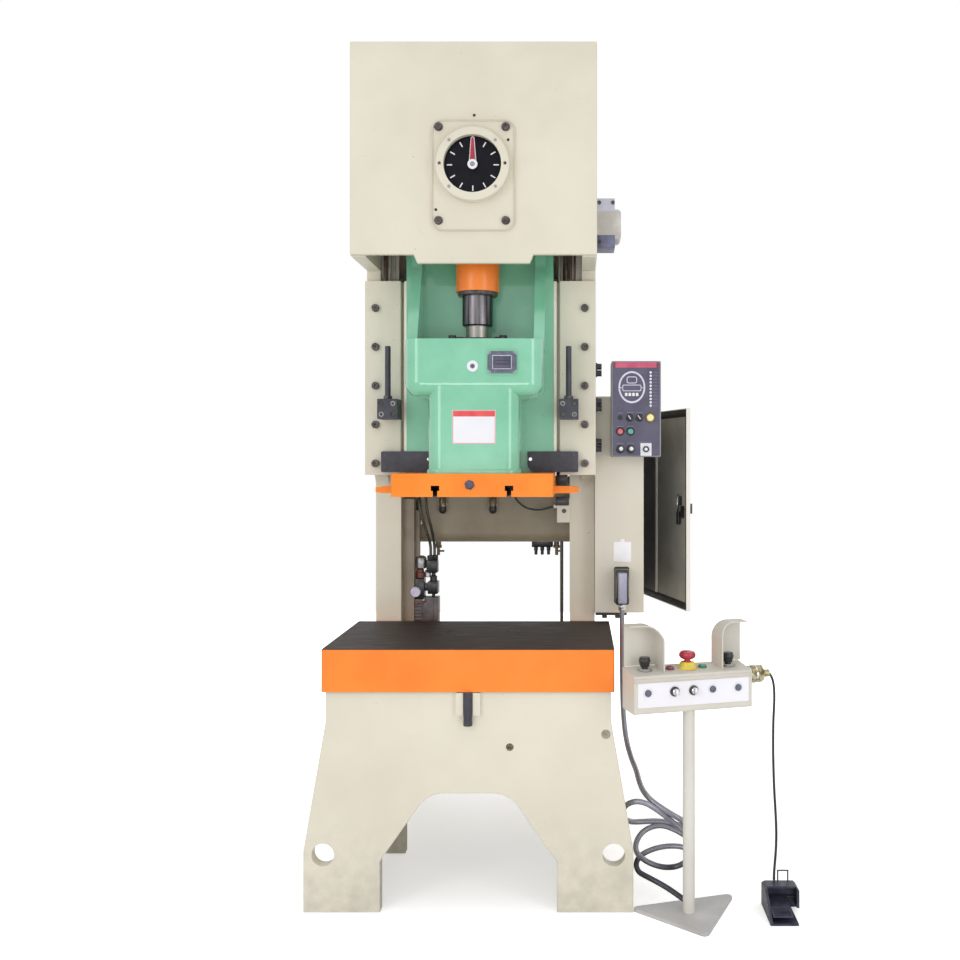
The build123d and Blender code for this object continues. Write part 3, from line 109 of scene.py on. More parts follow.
def addRange(tree, value, low, high, outLow=0, outHigh=1):
    span = addNode(tree, "ShaderNodeMapRange")
    for name, number in (("From Min", low), ("From Max", high), ("To Min", outLow), ("To Max", outHigh)):
        span.inputs[name].default_value = number
    link(tree, value, span.inputs["Value"])
    return span.outputs["Result"]


def feed(tree, socket, value):
    # a socket takes a value as it is, or another node's output
    if isinstance(value, (int, float, tuple)):
        socket.default_value = value
    else:
        link(tree, value, socket)


def addMix(tree, factor, first, second):
    mix = addNode(tree, "ShaderNodeMix", data_type="RGBA")
    link(tree, factor, mix.inputs["Factor"])
    feed(tree, mix.inputs["A"], first)
    feed(tree, mix.inputs["B"], second)
    return mix.outputs["Result"]


def addMath(tree, operation, first, second=0):
    step = addNode(tree, "ShaderNodeMath", operation=operation, use_clamp=True)
    feed(tree, step.inputs[0], first)
    feed(tree, step.inputs[1], second)
    return step.outputs[0]


def addAll(tree, *tests):
    # 1 where every test of (operation, value, level) holds
    held = addMath(tree, *tests[0])
    for test in tests[1:]:
        held = addMath(tree, "MULTIPLY", held, addMath(tree, *test))
    return held


def newFinish(name, **changes):
    look = dict(finishDefaults, **changes)
    finish = bpy.data.materials.new(name)
    finish.use_nodes = True
    tree = finish.node_tree
    shader = tree.nodes["Principled BSDF"]
    place = addPlace(tree)
    spread = addStretch(tree, place, look["stretch"])
    half = look["cloudSoft"] / 4
    shade = addRange(tree, addNoise(tree, spread, look["cloud"], detail=4.0), 0.5 - half, 0.5 + half)
    colour = addMix(tree, shade, paint(*look["tone"]), paint(*look["second"]))
    if look["split"]:
        # another tone beyond a level of one axis
        axis, level = look["split"]
        soft = look["splitSoft"]
        beyond = addRange(tree, addAxes(tree, place)[axis], level - soft, level + soft, 1, 0)
        darker = [v * look["splitShade"] for v in look["splitTone"]]
        colour = addMix(tree, beyond, colour, addMix(tree, shade, paint(*look["splitTone"]), paint(*darker)))
    if look["specks"]:
        start, full = look["speckSpan"]
        specks = addRange(tree, addNoise(tree, place, look["speckScale"], roughness=0.7),
                          start - look["speckGain"] * look["specks"], full, 0, look["speckCover"])
        colour = addMix(tree, specks, colour, paint(*look["speckTone"]))
    if look["floorDust"]:
        # patches of dust that thin out above the floor
        height = addAxes(tree, place)["Z"]
        low = addRange(tree, height, -bolsterTop, -bolsterTop + look["dustHeight"], look["floorDust"], 0)
        patches = addNoise(tree, place, look["dustScale"], detail=5.0, roughness=0.65)
        patch = addRange(tree, patches, *look["dustSpan"])
        colour = addMix(tree, addMath(tree, "MULTIPLY", low, patch), colour, paint(*look["dustTone"]))
    link(tree, colour, shader.inputs["Base Color"])
    grain = addNoise(tree, spread, look["grain"], detail=2.0)
    link(tree, addRange(tree, grain, *look["grainSpan"], *look["rough"]), shader.inputs["Roughness"])
    shader.inputs["Metallic"].default_value = look["metal"]
    shader.inputs["Coat Weight"].default_value = look["coat"]
    shader.inputs["Specular IOR Level"].default_value = look["specular"]
    if look["glow"]:
        link(tree, colour, shader.inputs["Emission Color"])
        shader.inputs["Emission Strength"].default_value = look["glow"]
    if look["bump"]:
        bump = addNode(tree, "ShaderNodeBump")
        bump.inputs["Strength"].default_value = look["bump"]
        bump.inputs["Distance"].default_value = look["bumpDepth"]
        link(tree, addNoise(tree, spread, look["bumpScale"], detail=2.0), bump.inputs["Height"])
        link(tree, bump.outputs["Normal"], shader.inputs["Normal"])
    return finish


# sheens that several finishes share, then the finishes by name
powderCoat = {"bumpScale": 700, "bump": 0.12, "rough": (0.42, 0.55)}
orangePaint = {"bumpScale": 160, "bump": 0.08, "specks": 0.1, "speckTone": (176, 92, 40), "specular": 0.25}
glossPaint = {"cloud": 40, "rough": (0.25, 0.35), "bump": 0.03, "coat": 0.3}
lensGloss = {"cloud": 70, "rough": (0.2, 0.3), "coat": 0.3}
knobPlastic = {"cloud": 40, "rough": (0.3, 0.42), "bump": 0.05, "coat": 0.2}

finishLooks = {
    "creamEnamel": dict(floorDust=0.4, specks=0.12, bump=0.05),
    # painted shade: the darker cream of the ring round the dial plate's edge
    "plateEdgeShade": dict(tone=(206, 200, 182), second=(196, 189, 170), cloud=6, bump=0.05),
    "cabinetSheet": dict(powderCoat, tone=(222, 217, 202), second=(213, 207, 190), split=("Z", 0.0345),
        splitTone=(58, 55, 52)),
    "doorCoat": dict(powderCoat, tone=(238, 235, 226), second=(230, 226, 215), bump=0.1),
    "consoleCoat": dict(powderCoat, tone=(210, 206, 197), second=(202, 197, 186)),
    "standCoat": dict(powderCoat, tone=(216, 213, 205), second=(208, 204, 195), bump=0.1, rough=(0.4, 0.52),
        split=("Z", -0.9165), splitTone=(202, 200, 198)),
    "panelCase": dict(powderCoat, tone=(150, 149, 152), second=(134, 133, 138), cloud=12, rough=(0.4, 0.52),
        bump=0.1),
    "tankEnamel": dict(tone=(152, 143, 122), second=(136, 127, 106), cloud=4, rough=(0.4, 0.55), bumpScale=160,
        bump=0.08, split=("Z", 0.284), splitTone=(140, 128, 98)),
    "castGreen": dict(tone=(130, 200, 168), second=(112, 186, 150), cloud=4, bump=0, rough=(0.18, 0.23),
        coat=0.9, specks=0.05, speckTone=(60, 120, 92)),
    "safetyOrange": dict(tone=(246, 134, 40), second=(237, 122, 32), cloud=6, bumpScale=160, bump=0.08,
        rough=(0.26, 0.4), coat=0.15, specks=0.14, speckTone=(170, 84, 34)),
    "bolsterPlate": dict(orangePaint, tone=(248, 138, 54), second=(240, 127, 46), cloud=4, rough=(0.3, 0.44)),
    "slideEnamel": dict(orangePaint, tone=(247, 138, 36), second=(239, 128, 28), cloud=6, rough=(0.26, 0.4)),
    "turnedSteel": dict(tone=(172, 170, 168), second=(140, 138, 136), cloud=30, metal=1.0, stretch=(1, 1, 14),
        bumpScale=120, bump=0.15, bumpDepth=0.0003, rough=(0.18, 0.34)),
    # painted reflection: the strong light and dark streaks stretched up the screw stand in for the highlights
    # along its length
    "screwSteelStreakSheen": dict(tone=(118, 114, 118), second=(34, 32, 38), cloud=30, cloudSoft=0.3, metal=0.85,
        stretch=(1, 1, 0.06), bumpScale=420, bump=0.35, rough=(0.24, 0.42), split=("Z", 1.178),
        splitTone=(176, 172, 166)),
    "blackOxide": dict(tone=(62, 61, 74), second=(46, 46, 56), cloud=14, bumpScale=320, bump=0.12,
        rough=(0.38, 0.56), specks=0.3, speckTone=(110, 106, 104)),
    "boltDark": dict(tone=(98, 92, 88), second=(60, 56, 56), cloud=70, bumpScale=320, metal=0.4, bump=0.12,
        rough=(0.3, 0.46)),
    "slateSteel": dict(tone=(98, 92, 108), second=(76, 70, 84), cloud=40, metal=0.4, rough=(0.34, 0.5),
        bumpScale=300, bump=0.1),
    "castIron": dict(tone=(92, 94, 96), second=(70, 72, 75), cloud=12, metal=0.6, bumpScale=220, bump=0.3,
        bumpDepth=0.001, rough=(0.4, 0.6)),
    # painted highlight: the bronze is lifted nearly to white, standing in for the bright line of light along
    # the gib liners
    "bronzeWithPaintedHighlight": dict(tone=(246, 243, 232), second=(230, 224, 206), cloud=20, metal=0.15,
        stretch=(1, 1, 0.15), bumpScale=150, bump=0.1, rough=(0.25, 0.4)),
    "glandBrass": dict(tone=(194, 184, 148), second=(112, 100, 66), cloud=60, metal=0.95, bumpScale=500,
        bump=0.06, rough=(0.14, 0.28)),
    "zincPlate": dict(tone=(168, 170, 170), second=(146, 149, 152), cloud=22, metal=0.85, bumpScale=300,
        bump=0.08, rough=(0.3, 0.45)),
    "brightChrome": dict(tone=(226, 226, 228), second=(196, 197, 202), cloud=40, metal=0.9, bumpScale=400,
        bump=0.05, rough=(0.1, 0.22)),
    "bulletGrey": dict(tone=(128, 118, 100), second=(84, 76, 62), cloud=40, metal=0.5, rough=(0.24, 0.36)),
    "pipeBrown": dict(tone=(108, 88, 78), second=(74, 60, 54), cloud=30, rough=(0.3, 0.42), metal=0.4),
    "cordRubber": dict(tone=(38, 38, 42), second=(26, 26, 30), cloud=30, bumpScale=900, bump=0.1,
        rough=(0.36, 0.5)),
    "sealRubber": dict(tone=(34, 33, 34), second=(24, 24, 25), cloud=20, rough=(0.5, 0.65), bump=0.08),
    "oliveHose": dict(tone=(70, 68, 52), second=(48, 46, 36), cloud=24, bumpScale=600, bump=0.1,
        rough=(0.26, 0.4), coat=0.2),
    "conduitSkin": dict(tone=(150, 150, 160), second=(142, 142, 152), cloud=20, metal=0.6, rough=(0.2, 0.28),
        bumpScale=500, bump=0.02, split=("Z", -0.776), splitTone=(84, 84, 92), splitSoft=0.012),
    "motorEnamel": dict(tone=(98, 106, 116), second=(84, 92, 102), cloud=9, bumpScale=240, bump=0.1,
        rough=(0.3, 0.45), specks=0.2),
    "valveGrey": dict(tone=(104, 98, 98), second=(82, 77, 80), cloud=30, bumpScale=300, bump=0.1,
        rough=(0.34, 0.5), metal=0.3),
    "regulatorRed": dict(tone=(128, 70, 58), second=(92, 48, 42), cloud=40, rough=(0.3, 0.45), bump=0.1),
    "columnShade": dict(tone=(150, 140, 124), second=(134, 124, 108), cloud=6, rough=(0.45, 0.6),
        bumpScale=200, bump=0.1),
    "pedalHammer": dict(tone=(64, 65, 84), second=(46, 46, 60), cloud=26, metal=0.3, bumpScale=150, bump=0.35,
        bumpDepth=0.0012, rough=(0.3, 0.5), specks=0.25, speckTone=(128, 126, 132)),
    "switchGear": dict(tone=(58, 60, 66), second=(46, 48, 54), cloud=8, rough=(0.38, 0.5), split=("X", 0.5245),
        splitTone=(186, 188, 190)),
    "junctionCoat": dict(tone=(202, 203, 216), second=(190, 191, 206), cloud=12, rough=(0.4, 0.52),
        split=("Z", 1.612), splitTone=(210, 205, 197)),
    "junctionDark": dict(tone=(120, 124, 150), second=(84, 86, 110), cloud=16, rough=(0.4, 0.52)),
    "hoodBlue": dict(tone=(178, 178, 196), second=(160, 160, 180), cloud=18, rough=(0.34, 0.46), bump=0.06,
        metal=0.2),
    "doorLiner": dict(tone=(162, 160, 150), second=(148, 146, 137), cloud=6, rough=(0.45, 0.58), bumpScale=300,
        bump=0.1),
    "doorShade": dict(tone=(108, 108, 110), second=(96, 96, 98), cloud=6, rough=(0.45, 0.58)),
    # painted shade: cream darkened to its look in shade, for the stand's lip band and the pale boards in the
    # head's recess
    "shadedCreamBeige": dict(tone=(206, 198, 187), second=(196, 188, 177), cloud=8, rough=(0.42, 0.55)),
    "plugBeige": dict(tone=(160, 154, 140), second=(136, 130, 118), cloud=50, rough=(0.4, 0.5)),
    "plainPaper": dict(tone=(252, 251, 254), second=(244, 243, 248), cloud=12, rough=(0.4, 0.5)),
    "stickerSheet": dict(tone=(236, 235, 243), second=(230, 228, 232), cloud=3, rough=(0.4, 0.5)),
    "whitePrint": dict(tone=(230, 231, 236), second=(225, 226, 232), cloud=12, rough=(0.35, 0.45)),
    "lilacPrint": dict(tone=(222, 218, 236), second=(204, 200, 222), cloud=60, rough=(0.35, 0.45)),
    "faintPrint": dict(tone=(142, 138, 160), second=(126, 122, 146), cloud=60, rough=(0.36, 0.46)),
    "placardRed": dict(tone=(224, 84, 84), second=(212, 66, 68), cloud=30, rough=(0.35, 0.45)),
    "panelHeader": dict(tone=(206, 94, 122), second=(190, 78, 106), cloud=30, rough=(0.3, 0.42)),
    "panelFilm": dict(tone=(90, 87, 108), second=(78, 75, 96), cloud=14, rough=(0.36, 0.46), bumpScale=900,
        bump=0.06),
    "dialBlack": dict(tone=(18, 18, 27), second=(12, 12, 20), cloud=20, rough=(0.4, 0.5), specular=0.15),
    "blackPlastic": dict(knobPlastic, tone=(32, 33, 36), second=(24, 25, 28), coat=0.15),
    "greyPlastic": dict(knobPlastic, tone=(98, 100, 118), second=(78, 80, 98)),
    "stopRed": dict(glossPaint, tone=(196, 44, 66), second=(176, 32, 54)),
    "guardYellow": dict(glossPaint, tone=(228, 206, 74), second=(212, 184, 52), rough=(0.28, 0.4), coat=0.25),
    "crimson": dict(glossPaint, tone=(176, 40, 62), second=(152, 26, 48), rough=(0.28, 0.38),
        coat=0.2, bump=0.04),
    "lensRed": dict(lensGloss, tone=(222, 104, 114), second=(204, 84, 96), cloud=60, coat=0.4),
    "lensGreen": dict(lensGloss, tone=(96, 178, 160), second=(70, 156, 138), cloud=60, coat=0.4),
    "lampRed": dict(lensGloss, tone=(132, 70, 82), second=(104, 50, 62)),
    "lampGreen": dict(lensGloss, tone=(52, 130, 104), second=(34, 104, 82)),
    "lampYellow": dict(lensGloss, tone=(246, 232, 178), second=(232, 212, 140), glow=0.1),
    "lampOlive": dict(tone=(132, 122, 70), second=(98, 92, 50), cloud=70, rough=(0.3, 0.42), metal=0.3),
}
finishes = {name: newFinish(name, **look) for name, look in finishLooks.items()}
print("stage: finishes made,", len(finishes))


# Bolster: dark oiled top over an orange painted edge.

bolsterLook = {
    "edgeDepth": 0.0016, "edgeSoft": 0.0004, "innerX": 0.5125, "innerFront": -0.3775, "innerBack": 0.2775,
    "oilAndShade": (36, 30, 28), "oilWorn": (60, 50, 45), "smear": (1.2, 5, 1), "smearScale": 7,
    "smearSpan": (0.35, 0.68), "oilRough": (0.5, 0.7),
    "worn": (92, 80, 71), "wornFrom": 0.30, "wornTo": 0.50, "wornCover": 0.6,
}


def oilBolster(finish, look):
    tree = finish.node_tree
    shader = tree.nodes["Principled BSDF"]
    place = addPlace(tree)
    axes = addAxes(tree, place)
    top = addRange(tree, axes["Z"], -look["edgeDepth"], -look["edgeDepth"] + look["edgeSoft"])
    grooves = addAll(tree, ("LESS_THAN", addMath(tree, "ABSOLUTE", axes["X"]), look["innerX"]),
                     ("GREATER_THAN", axes["Y"], look["innerFront"]),
                     ("LESS_THAN", axes["Y"], look["innerBack"]))
    top = addMath(tree, "MAXIMUM", top, grooves)  # the grooves' walls are oiled too
    smear = addStretch(tree, place, look["smear"])
    streaks = addNoise(tree, smear, look["smearScale"], detail=6.0, roughness=0.6)
    streaks = addRange(tree, streaks, *look["smearSpan"])
    oilAndShade = addMix(tree, streaks, paint(*look["oilAndShade"]), paint(*look["oilWorn"]))
    rightEnd = addRange(tree, axes["X"], look["wornFrom"], look["wornTo"], 0, look["wornCover"])
    oilAndShade = addMix(tree, addMath(tree, "MULTIPLY", rightEnd, streaks), oilAndShade, paint(*look["worn"]))
    orange = shader.inputs["Base Color"].links[0].from_socket
    link(tree, addMix(tree, top, orange, oilAndShade), shader.inputs["Base Color"])
    blend = addNode(tree, "ShaderNodeMix", data_type="FLOAT")
    link(tree, top, blend.inputs["Factor"])
    link(tree, shader.inputs["Roughness"].links[0].from_socket, blend.inputs["A"])
    link(tree, addRange(tree, streaks, 0, 1, *look["oilRough"]), blend.inputs["B"])
    link(tree, blend.outputs["Result"], shader.inputs["Roughness"])


oilBolster(finishes["bolsterPlate"], bolsterLook)

# painted shade: the dark tone inside the slide plate's T-slots
slideLook = {"slotInner": 0.1175, "slotOuter": 0.1525, "slotTop": 0.5715, "slotStart": -0.2288,
             "oilAndShade": (34, 26, 22)}


def paintSlotShade(finish, look):
    # painted shade: the orange slide plate is darkened inside its T-slots, where shade falls
    tree = finish.node_tree
    colour = tree.nodes["Principled BSDF"].inputs["Base Color"]
    axes = addAxes(tree, addPlace(tree))
    across = addMath(tree, "ABSOLUTE", axes["X"])
    inside = addAll(tree, ("GREATER_THAN", across, look["slotInner"]),
                    ("LESS_THAN", across, look["slotOuter"]),
                    ("GREATER_THAN", axes["Y"], look["slotStart"]), ("LESS_THAN", axes["Z"], look["slotTop"]))
    link(tree, addMix(tree, inside, colour.links[0].from_socket, paint(*look["oilAndShade"])), colour)


paintSlotShade(finishes["slideEnamel"], slideLook)

finishNodes = {
    "creamEnamel": ["side_plate_right", "side_plate_left", "front_leg_plate", "bed_frame", "head_front_plate",
                    "head_shell", "gib_block_right", "gib_block_left", "gib_cover_right", "gib_cover_left",
                    "dial_housing", "rear_guard"],
    "bolsterPlate": ["bolster"], "tankEnamel": ["air_tank"], "motorEnamel": ["motor"], "castGreen": ["ram"],
    "bronzeWithPaintedHighlight": ["gib_liners", "crank_bushes"], "boltDark": ["gib_cover_screws", "rod_collar"],
    "blackOxide": ["adjusting_bolts", "knockout_stops", "ball_cap", "wing_plates"],
    "castIron": ["flywheel", "motor_pulley"], "turnedSteel": ["crankshaft", "clutch_hub"],
    "crimson": ["dial_pointer"], "safetyOrange": ["connecting_rod"], "screwSteelStreakSheen": ["adjusting_screw"],
    "slideEnamel": ["slide_plate", "knockout_bar"],
    "valveGrey": ["air_service_unit"], "oliveHose": ["air_hoses"],
    "cordRubber": ["drive_belts", "foot_cord", "ram_cable"],
    "conduitSkin": ["conduit_upper", "conduit_coil", "conduit_lower"],
    "cabinetSheet": ["cabinet"], "switchGear": ["cabinet_equipment"], "doorCoat": ["cabinet_door"],
    "panelCase": ["operator_panel"], "junctionCoat": ["junction_box"], "standCoat": ["control_stand"],
    "consoleCoat": ["control_box", "palm_guards"], "glandBrass": ["cable_gland"],
    "pedalHammer": ["foot_switch", "foot_pedal"], "stopRed": ["emergency_stop"],
    "blackPlastic": ["door_lock", "palm_button_left", "palm_button_right"],
    "brightChrome": ["stand_selector_left", "stand_selector_right"],
    "lensRed": ["panel_stop_button"], "lensGreen": ["panel_start_button"],
}
for finishName, nodeNames in finishNodes.items():
    for nodeName in nodeNames:
        cadNode = cadNodes[nodeName]
        for materialSlot in cadNode.material_slots:
            materialSlot.material = finishes[finishName]
        if not cadNode.material_slots:
            cadNode.data.materials.append(finishes[finishName])
print("stage: nodes dressed,", sum(len(nodeNames) for nodeNames in finishNodes.values()))


# Modelling kit: places in millimetres above the floor, each piece's place kept in its mesh.

facing = {
    "front": Matrix(((1, 0, 0), (0, 0, -1), (0, 1, 0))), "up": Matrix.Identity(3),
    "right": Matrix(((0, 0, 1), (1, 0, 0), (0, 1, 0))), "down": Matrix(((1, 0, 0), (0, -1, 0), (0, 0, -1))),
    "back": Matrix(((-1, 0, 0), (0, 0, 1), (0, 1, 0))),
}
seatLook = {"standCorner": (0.578, -0.500, 0), "standTurn": 17,
            "doorHinge": (0.667, 0.984, 0), "doorTurn": 14.3}
onStand = Matrix.Translation(seatLook["standCorner"])
onStand = onStand @ Matrix.Rotation(math.radians(seatLook["standTurn"]), 4, "Z")
doorHinge = Vector(seatLook["doorHinge"])
onDoor = Matrix.Translation(doorHinge) @ Matrix.Rotation(math.radians(seatLook["doorTurn"]), 4, "Z")
onDoor = onDoor @ Matrix.Translation(-doorHinge)
mergeWithin = 0.000002


def pick(*pieces):
    bpy.ops.object.select_all(action="DESELECT")
    for piece in pieces:
        piece.select_set(True)
    bpy.context.view_layer.objects.active = pieces[0]


def fixPlace():
    bpy.ops.object.transform_apply(location=True, rotation=True, scale=True)


def land(piece, place, axis="up", seat=None):
    # turns the piece from lying flat at zero to its own place, on the frame or on a turned seat
    pick(piece)
    fixPlace()
    piece.matrix_world = (seat or Matrix()) @ Matrix.Translation(spot(*place)) @ facing[axis].to_4x4()
    fixPlace()
    return piece


def faceOutwards(merge=True):
    bpy.ops.object.mode_set(mode="EDIT")
    bpy.ops.mesh.select_all(action="SELECT")
    if merge:
        bpy.ops.mesh.remove_doubles(threshold=mergeWithin)
    bpy.ops.mesh.normals_make_consistent(inside=False)
    bpy.ops.object.mode_set(mode="OBJECT")


def turned(steps, place, axis="front", sides=40, twist=0, seat=None):
    # steps of (radius, height); a ring's last step is its first again
    ring = steps[0] == steps[-1]
    bpy.ops.object.select_all(action="DESELECT")
    bpy.ops.mesh.primitive_circle_add(vertices=sides, radius=steps[0][0] / 1000, location=(0, 0, 0),
                                      fill_type="NOTHING" if ring else "NGON")
    piece = bpy.context.object
    bpy.ops.object.mode_set(mode="EDIT")
    bpy.ops.mesh.select_all(action="SELECT")
    bpy.ops.transform.translate(value=(0, 0, steps[0][1] / 1000))
    for (wide, high), (nextWide, nextHigh) in zip(steps, steps[1:]):
        bpy.ops.mesh.extrude_region_move(TRANSFORM_OT_translate={"value": (0, 0, (nextHigh - high) / 1000)})
        bpy.ops.transform.resize(value=(nextWide / wide, nextWide / wide, 1))
    faceOutwards(merge=ring)
    piece.rotation_euler = (0, 0, math.radians(twist))
    return land(piece, place, axis, seat)


def boxy(low, high, edge=1.0, segments=2, seat=None):
    bpy.ops.object.select_all(action="DESELECT")
    bpy.ops.mesh.primitive_cube_add(size=1, location=(0, 0, 0))
    piece = bpy.context.object
    piece.scale = [abs(b - a) / 1000 for a, b in zip(low, high)]
    fixPlace()
    bpy.ops.object.mode_set(mode="EDIT")
    bpy.ops.mesh.select_all(action="SELECT")
    bpy.ops.mesh.bevel(offset=edge / 1000, segments=segments, affect="EDGES")
    bpy.ops.object.mode_set(mode="OBJECT")
    return land(piece, [(a + b) / 2 for a, b in zip(low, high)], "up", seat)


def rounded(width, height, radius, steps=6):
    # a rectangle with round corners as a loop about its own middle
    loop = []
    for turn, (sideX, sideY) in enumerate(((1, 1), (-1, 1), (-1, -1), (1, -1))):
        for i in range(steps + 1):
            angle = math.pi / 2 * (turn + i / steps)
            loop.append((sideX * (width / 2 - radius) + radius * math.cos(angle),
                         sideY * (height / 2 - radius) + radius * math.sin(angle)))
    return loop


def circle(radius, middle=(0, 0), sides=40, squash=1):
    turns = [2 * math.pi * i / sides for i in range(sides)]
    return [(middle[0] + radius * math.cos(a), middle[1] + radius * squash * math.sin(a)) for a in turns]


def spun(loop, degrees):
    across, along = math.cos(math.radians(degrees)), math.sin(math.radians(degrees))
    return [(x * across - y * along, x * along + y * across) for x, y in loop]


def drawLine(name, loops, closed):
    # closed loops stay flat, an open route is a smooth line through the air
    line = bpy.data.curves.new(name, "CURVE")
    line.dimensions = "2D" if closed else "3D"
    for loop in loops:
        spline = line.splines.new("POLY" if closed else "NURBS")
        spline.points.add(len(loop) - 1)
        for point, place in zip(spline.points, loop):
            point.co = (*place, 1)
        spline.use_cyclic_u = closed
        if not closed:
            spline.order_u = 3
            spline.use_endpoint_u = True
    drawn = bpy.data.objects.new(name, line)
    bpy.context.scene.collection.objects.link(drawn)
    return drawn


def cutOut(loops, depth, place, edge=0, seat=None):
    # a flat piece drawn by its outline and its openings, as deep as said
    piece = drawLine("outline", [[(x / 1000, y / 1000, 0) for x, y in loop] for loop in loops], closed=True)
    piece.data.fill_mode = "BOTH"
    piece.data.extrude = depth / 2000
    piece.data.bevel_depth = edge / 1000
    piece.data.bevel_resolution = 1
    piece.data.offset = -edge / 1000
    pick(piece)
    bpy.ops.object.convert(target="MESH")
    faceOutwards()
    piece = bpy.context.object
    piece.location = (0, 0, depth / 2000)
    return land(piece, place, "front", seat)


def pipe(route, radius, seat=None):
    piece = drawLine("pipe", [[[v / 1000 for v in place] for place in route]], closed=False)
    piece.data.bevel_depth = radius / 1000
    piece.data.bevel_resolution = 4
    piece.data.resolution_u = 6
    piece.data.use_fill_caps = True
    pick(piece)
    bpy.ops.object.convert(target="MESH")
    faceOutwards(merge=False)
    return land(bpy.context.object, (0, 0, 0), "up", seat)


def copied(piece, places, seat=None):
    # the piece stands at the first place; its copies, each with its own mesh, go to the others
    seat = seat or Matrix()
    made = [piece]
    for place in places[1:]:
        extra = piece.copy()
        extra.data = piece.data.copy()
        bpy.context.scene.collection.objects.link(extra)
        pick(extra)
        extra.location = seat @ spot(*place) - seat @ spot(*places[0])
        fixPlace()
        made.append(extra)
    return made


screwShape = {"sides": 24, "shoulder": 0.8, "crown": 0.9,
              "socket": 0.5, "socketFloor": 0.48, "socketLevel": 0.45}


def screwSteps(radius, height):
    return [(radius, 0), (radius, height * screwShape["shoulder"]), (radius * screwShape["crown"], height),
            (radius * screwShape["socket"], height),
            (radius * screwShape["socketFloor"], height * screwShape["socketLevel"])]


def partsOf(look, seat):
    # what a look lists: flat rows of (loops, depth, places, edge), boxes of (low, high, edge, segments),
    # turned rows of (steps, places, axis, sides, twist), screws of (places, radius, height, axis),
    # and pipes of (route, radius)
    parts = []
    for loops, depth, places, *edge in look.get("flat", []):
        parts += copied(cutOut(loops, depth, places[0], *edge, seat=seat), places, seat)
    for row in look.get("boxes", []):
        parts.append(boxy(*row, seat=seat))
    for steps, places, *shape in look.get("turned", []):
        parts += copied(turned(steps, places[0], *shape, seat=seat), places, seat)
    for places, radius, height, axis in look.get("screws", []):
        screw = turned(screwSteps(radius, height), places[0], axis, screwShape["sides"], seat=seat)
        parts += copied(screw, places, seat)
    for route, radius in look.get("pipes", []):
        parts.append(pipe(route, radius, seat))
    return parts


def build(looks, body="frame", seat=None, smoothAngle=32):
    # every look becomes one piece with its own finish, riding on its body
    made = {}
    for name, look in looks.items():
        finish, slotName = look["finish"]
        parts = partsOf(look, seat)
        pick(*parts)
        if len(parts) > 1:
            bpy.ops.object.join()
        piece = parts[0]
        piece.name = piece.data.name = name
        bpy.ops.object.shade_smooth_by_angle(angle=math.radians(smoothAngle))
        piece.data.materials.clear()
        piece.data.materials.append(finishes[finish])
        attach(piece, look.get("body", body))
        bpy.ops.object.select_all(action="DESELECT")
        made[name] = piece
    return made


def mirrored(*rows):
    # the same box on the left and on the right of the machine
    return [((side * x0, y0, z0), (side * x1, y1, z1), edge)
            for (x0, y0, z0), (x1, y1, z1), edge in rows for side in (-1, 1)]


def bothSides(*places):
    return [(side * x, y, z) for x, y, z in places for side in (-1, 1)]


# Crank angle dial: black face with plain ticks, the pointer's white edge, screws and bolt heads, and a ring of
# painted shade round the dial plate's edge.

dial = {"z": 2680, "faceY": -192, "tickY": -199, "needleY": -205.5, "hubY": -212, "ticks": 12, "tickFrom": 76,
        "tickTo": 96, "tickHalf": 2.2, "screwCircle": 120, "screwY": -225, "darkAt": (0, 180),
        "brightAt": (45, 135, 225, 315), "plate": (0, -183, 2646), "boltX": (-128, 120), "boltZ": (2479, 2825)}


def ringScrew(degrees):
    angle = math.radians(degrees)
    reach = dial["screwCircle"]
    return (reach * math.cos(angle), dial["screwY"], dial["z"] + reach * math.sin(angle))


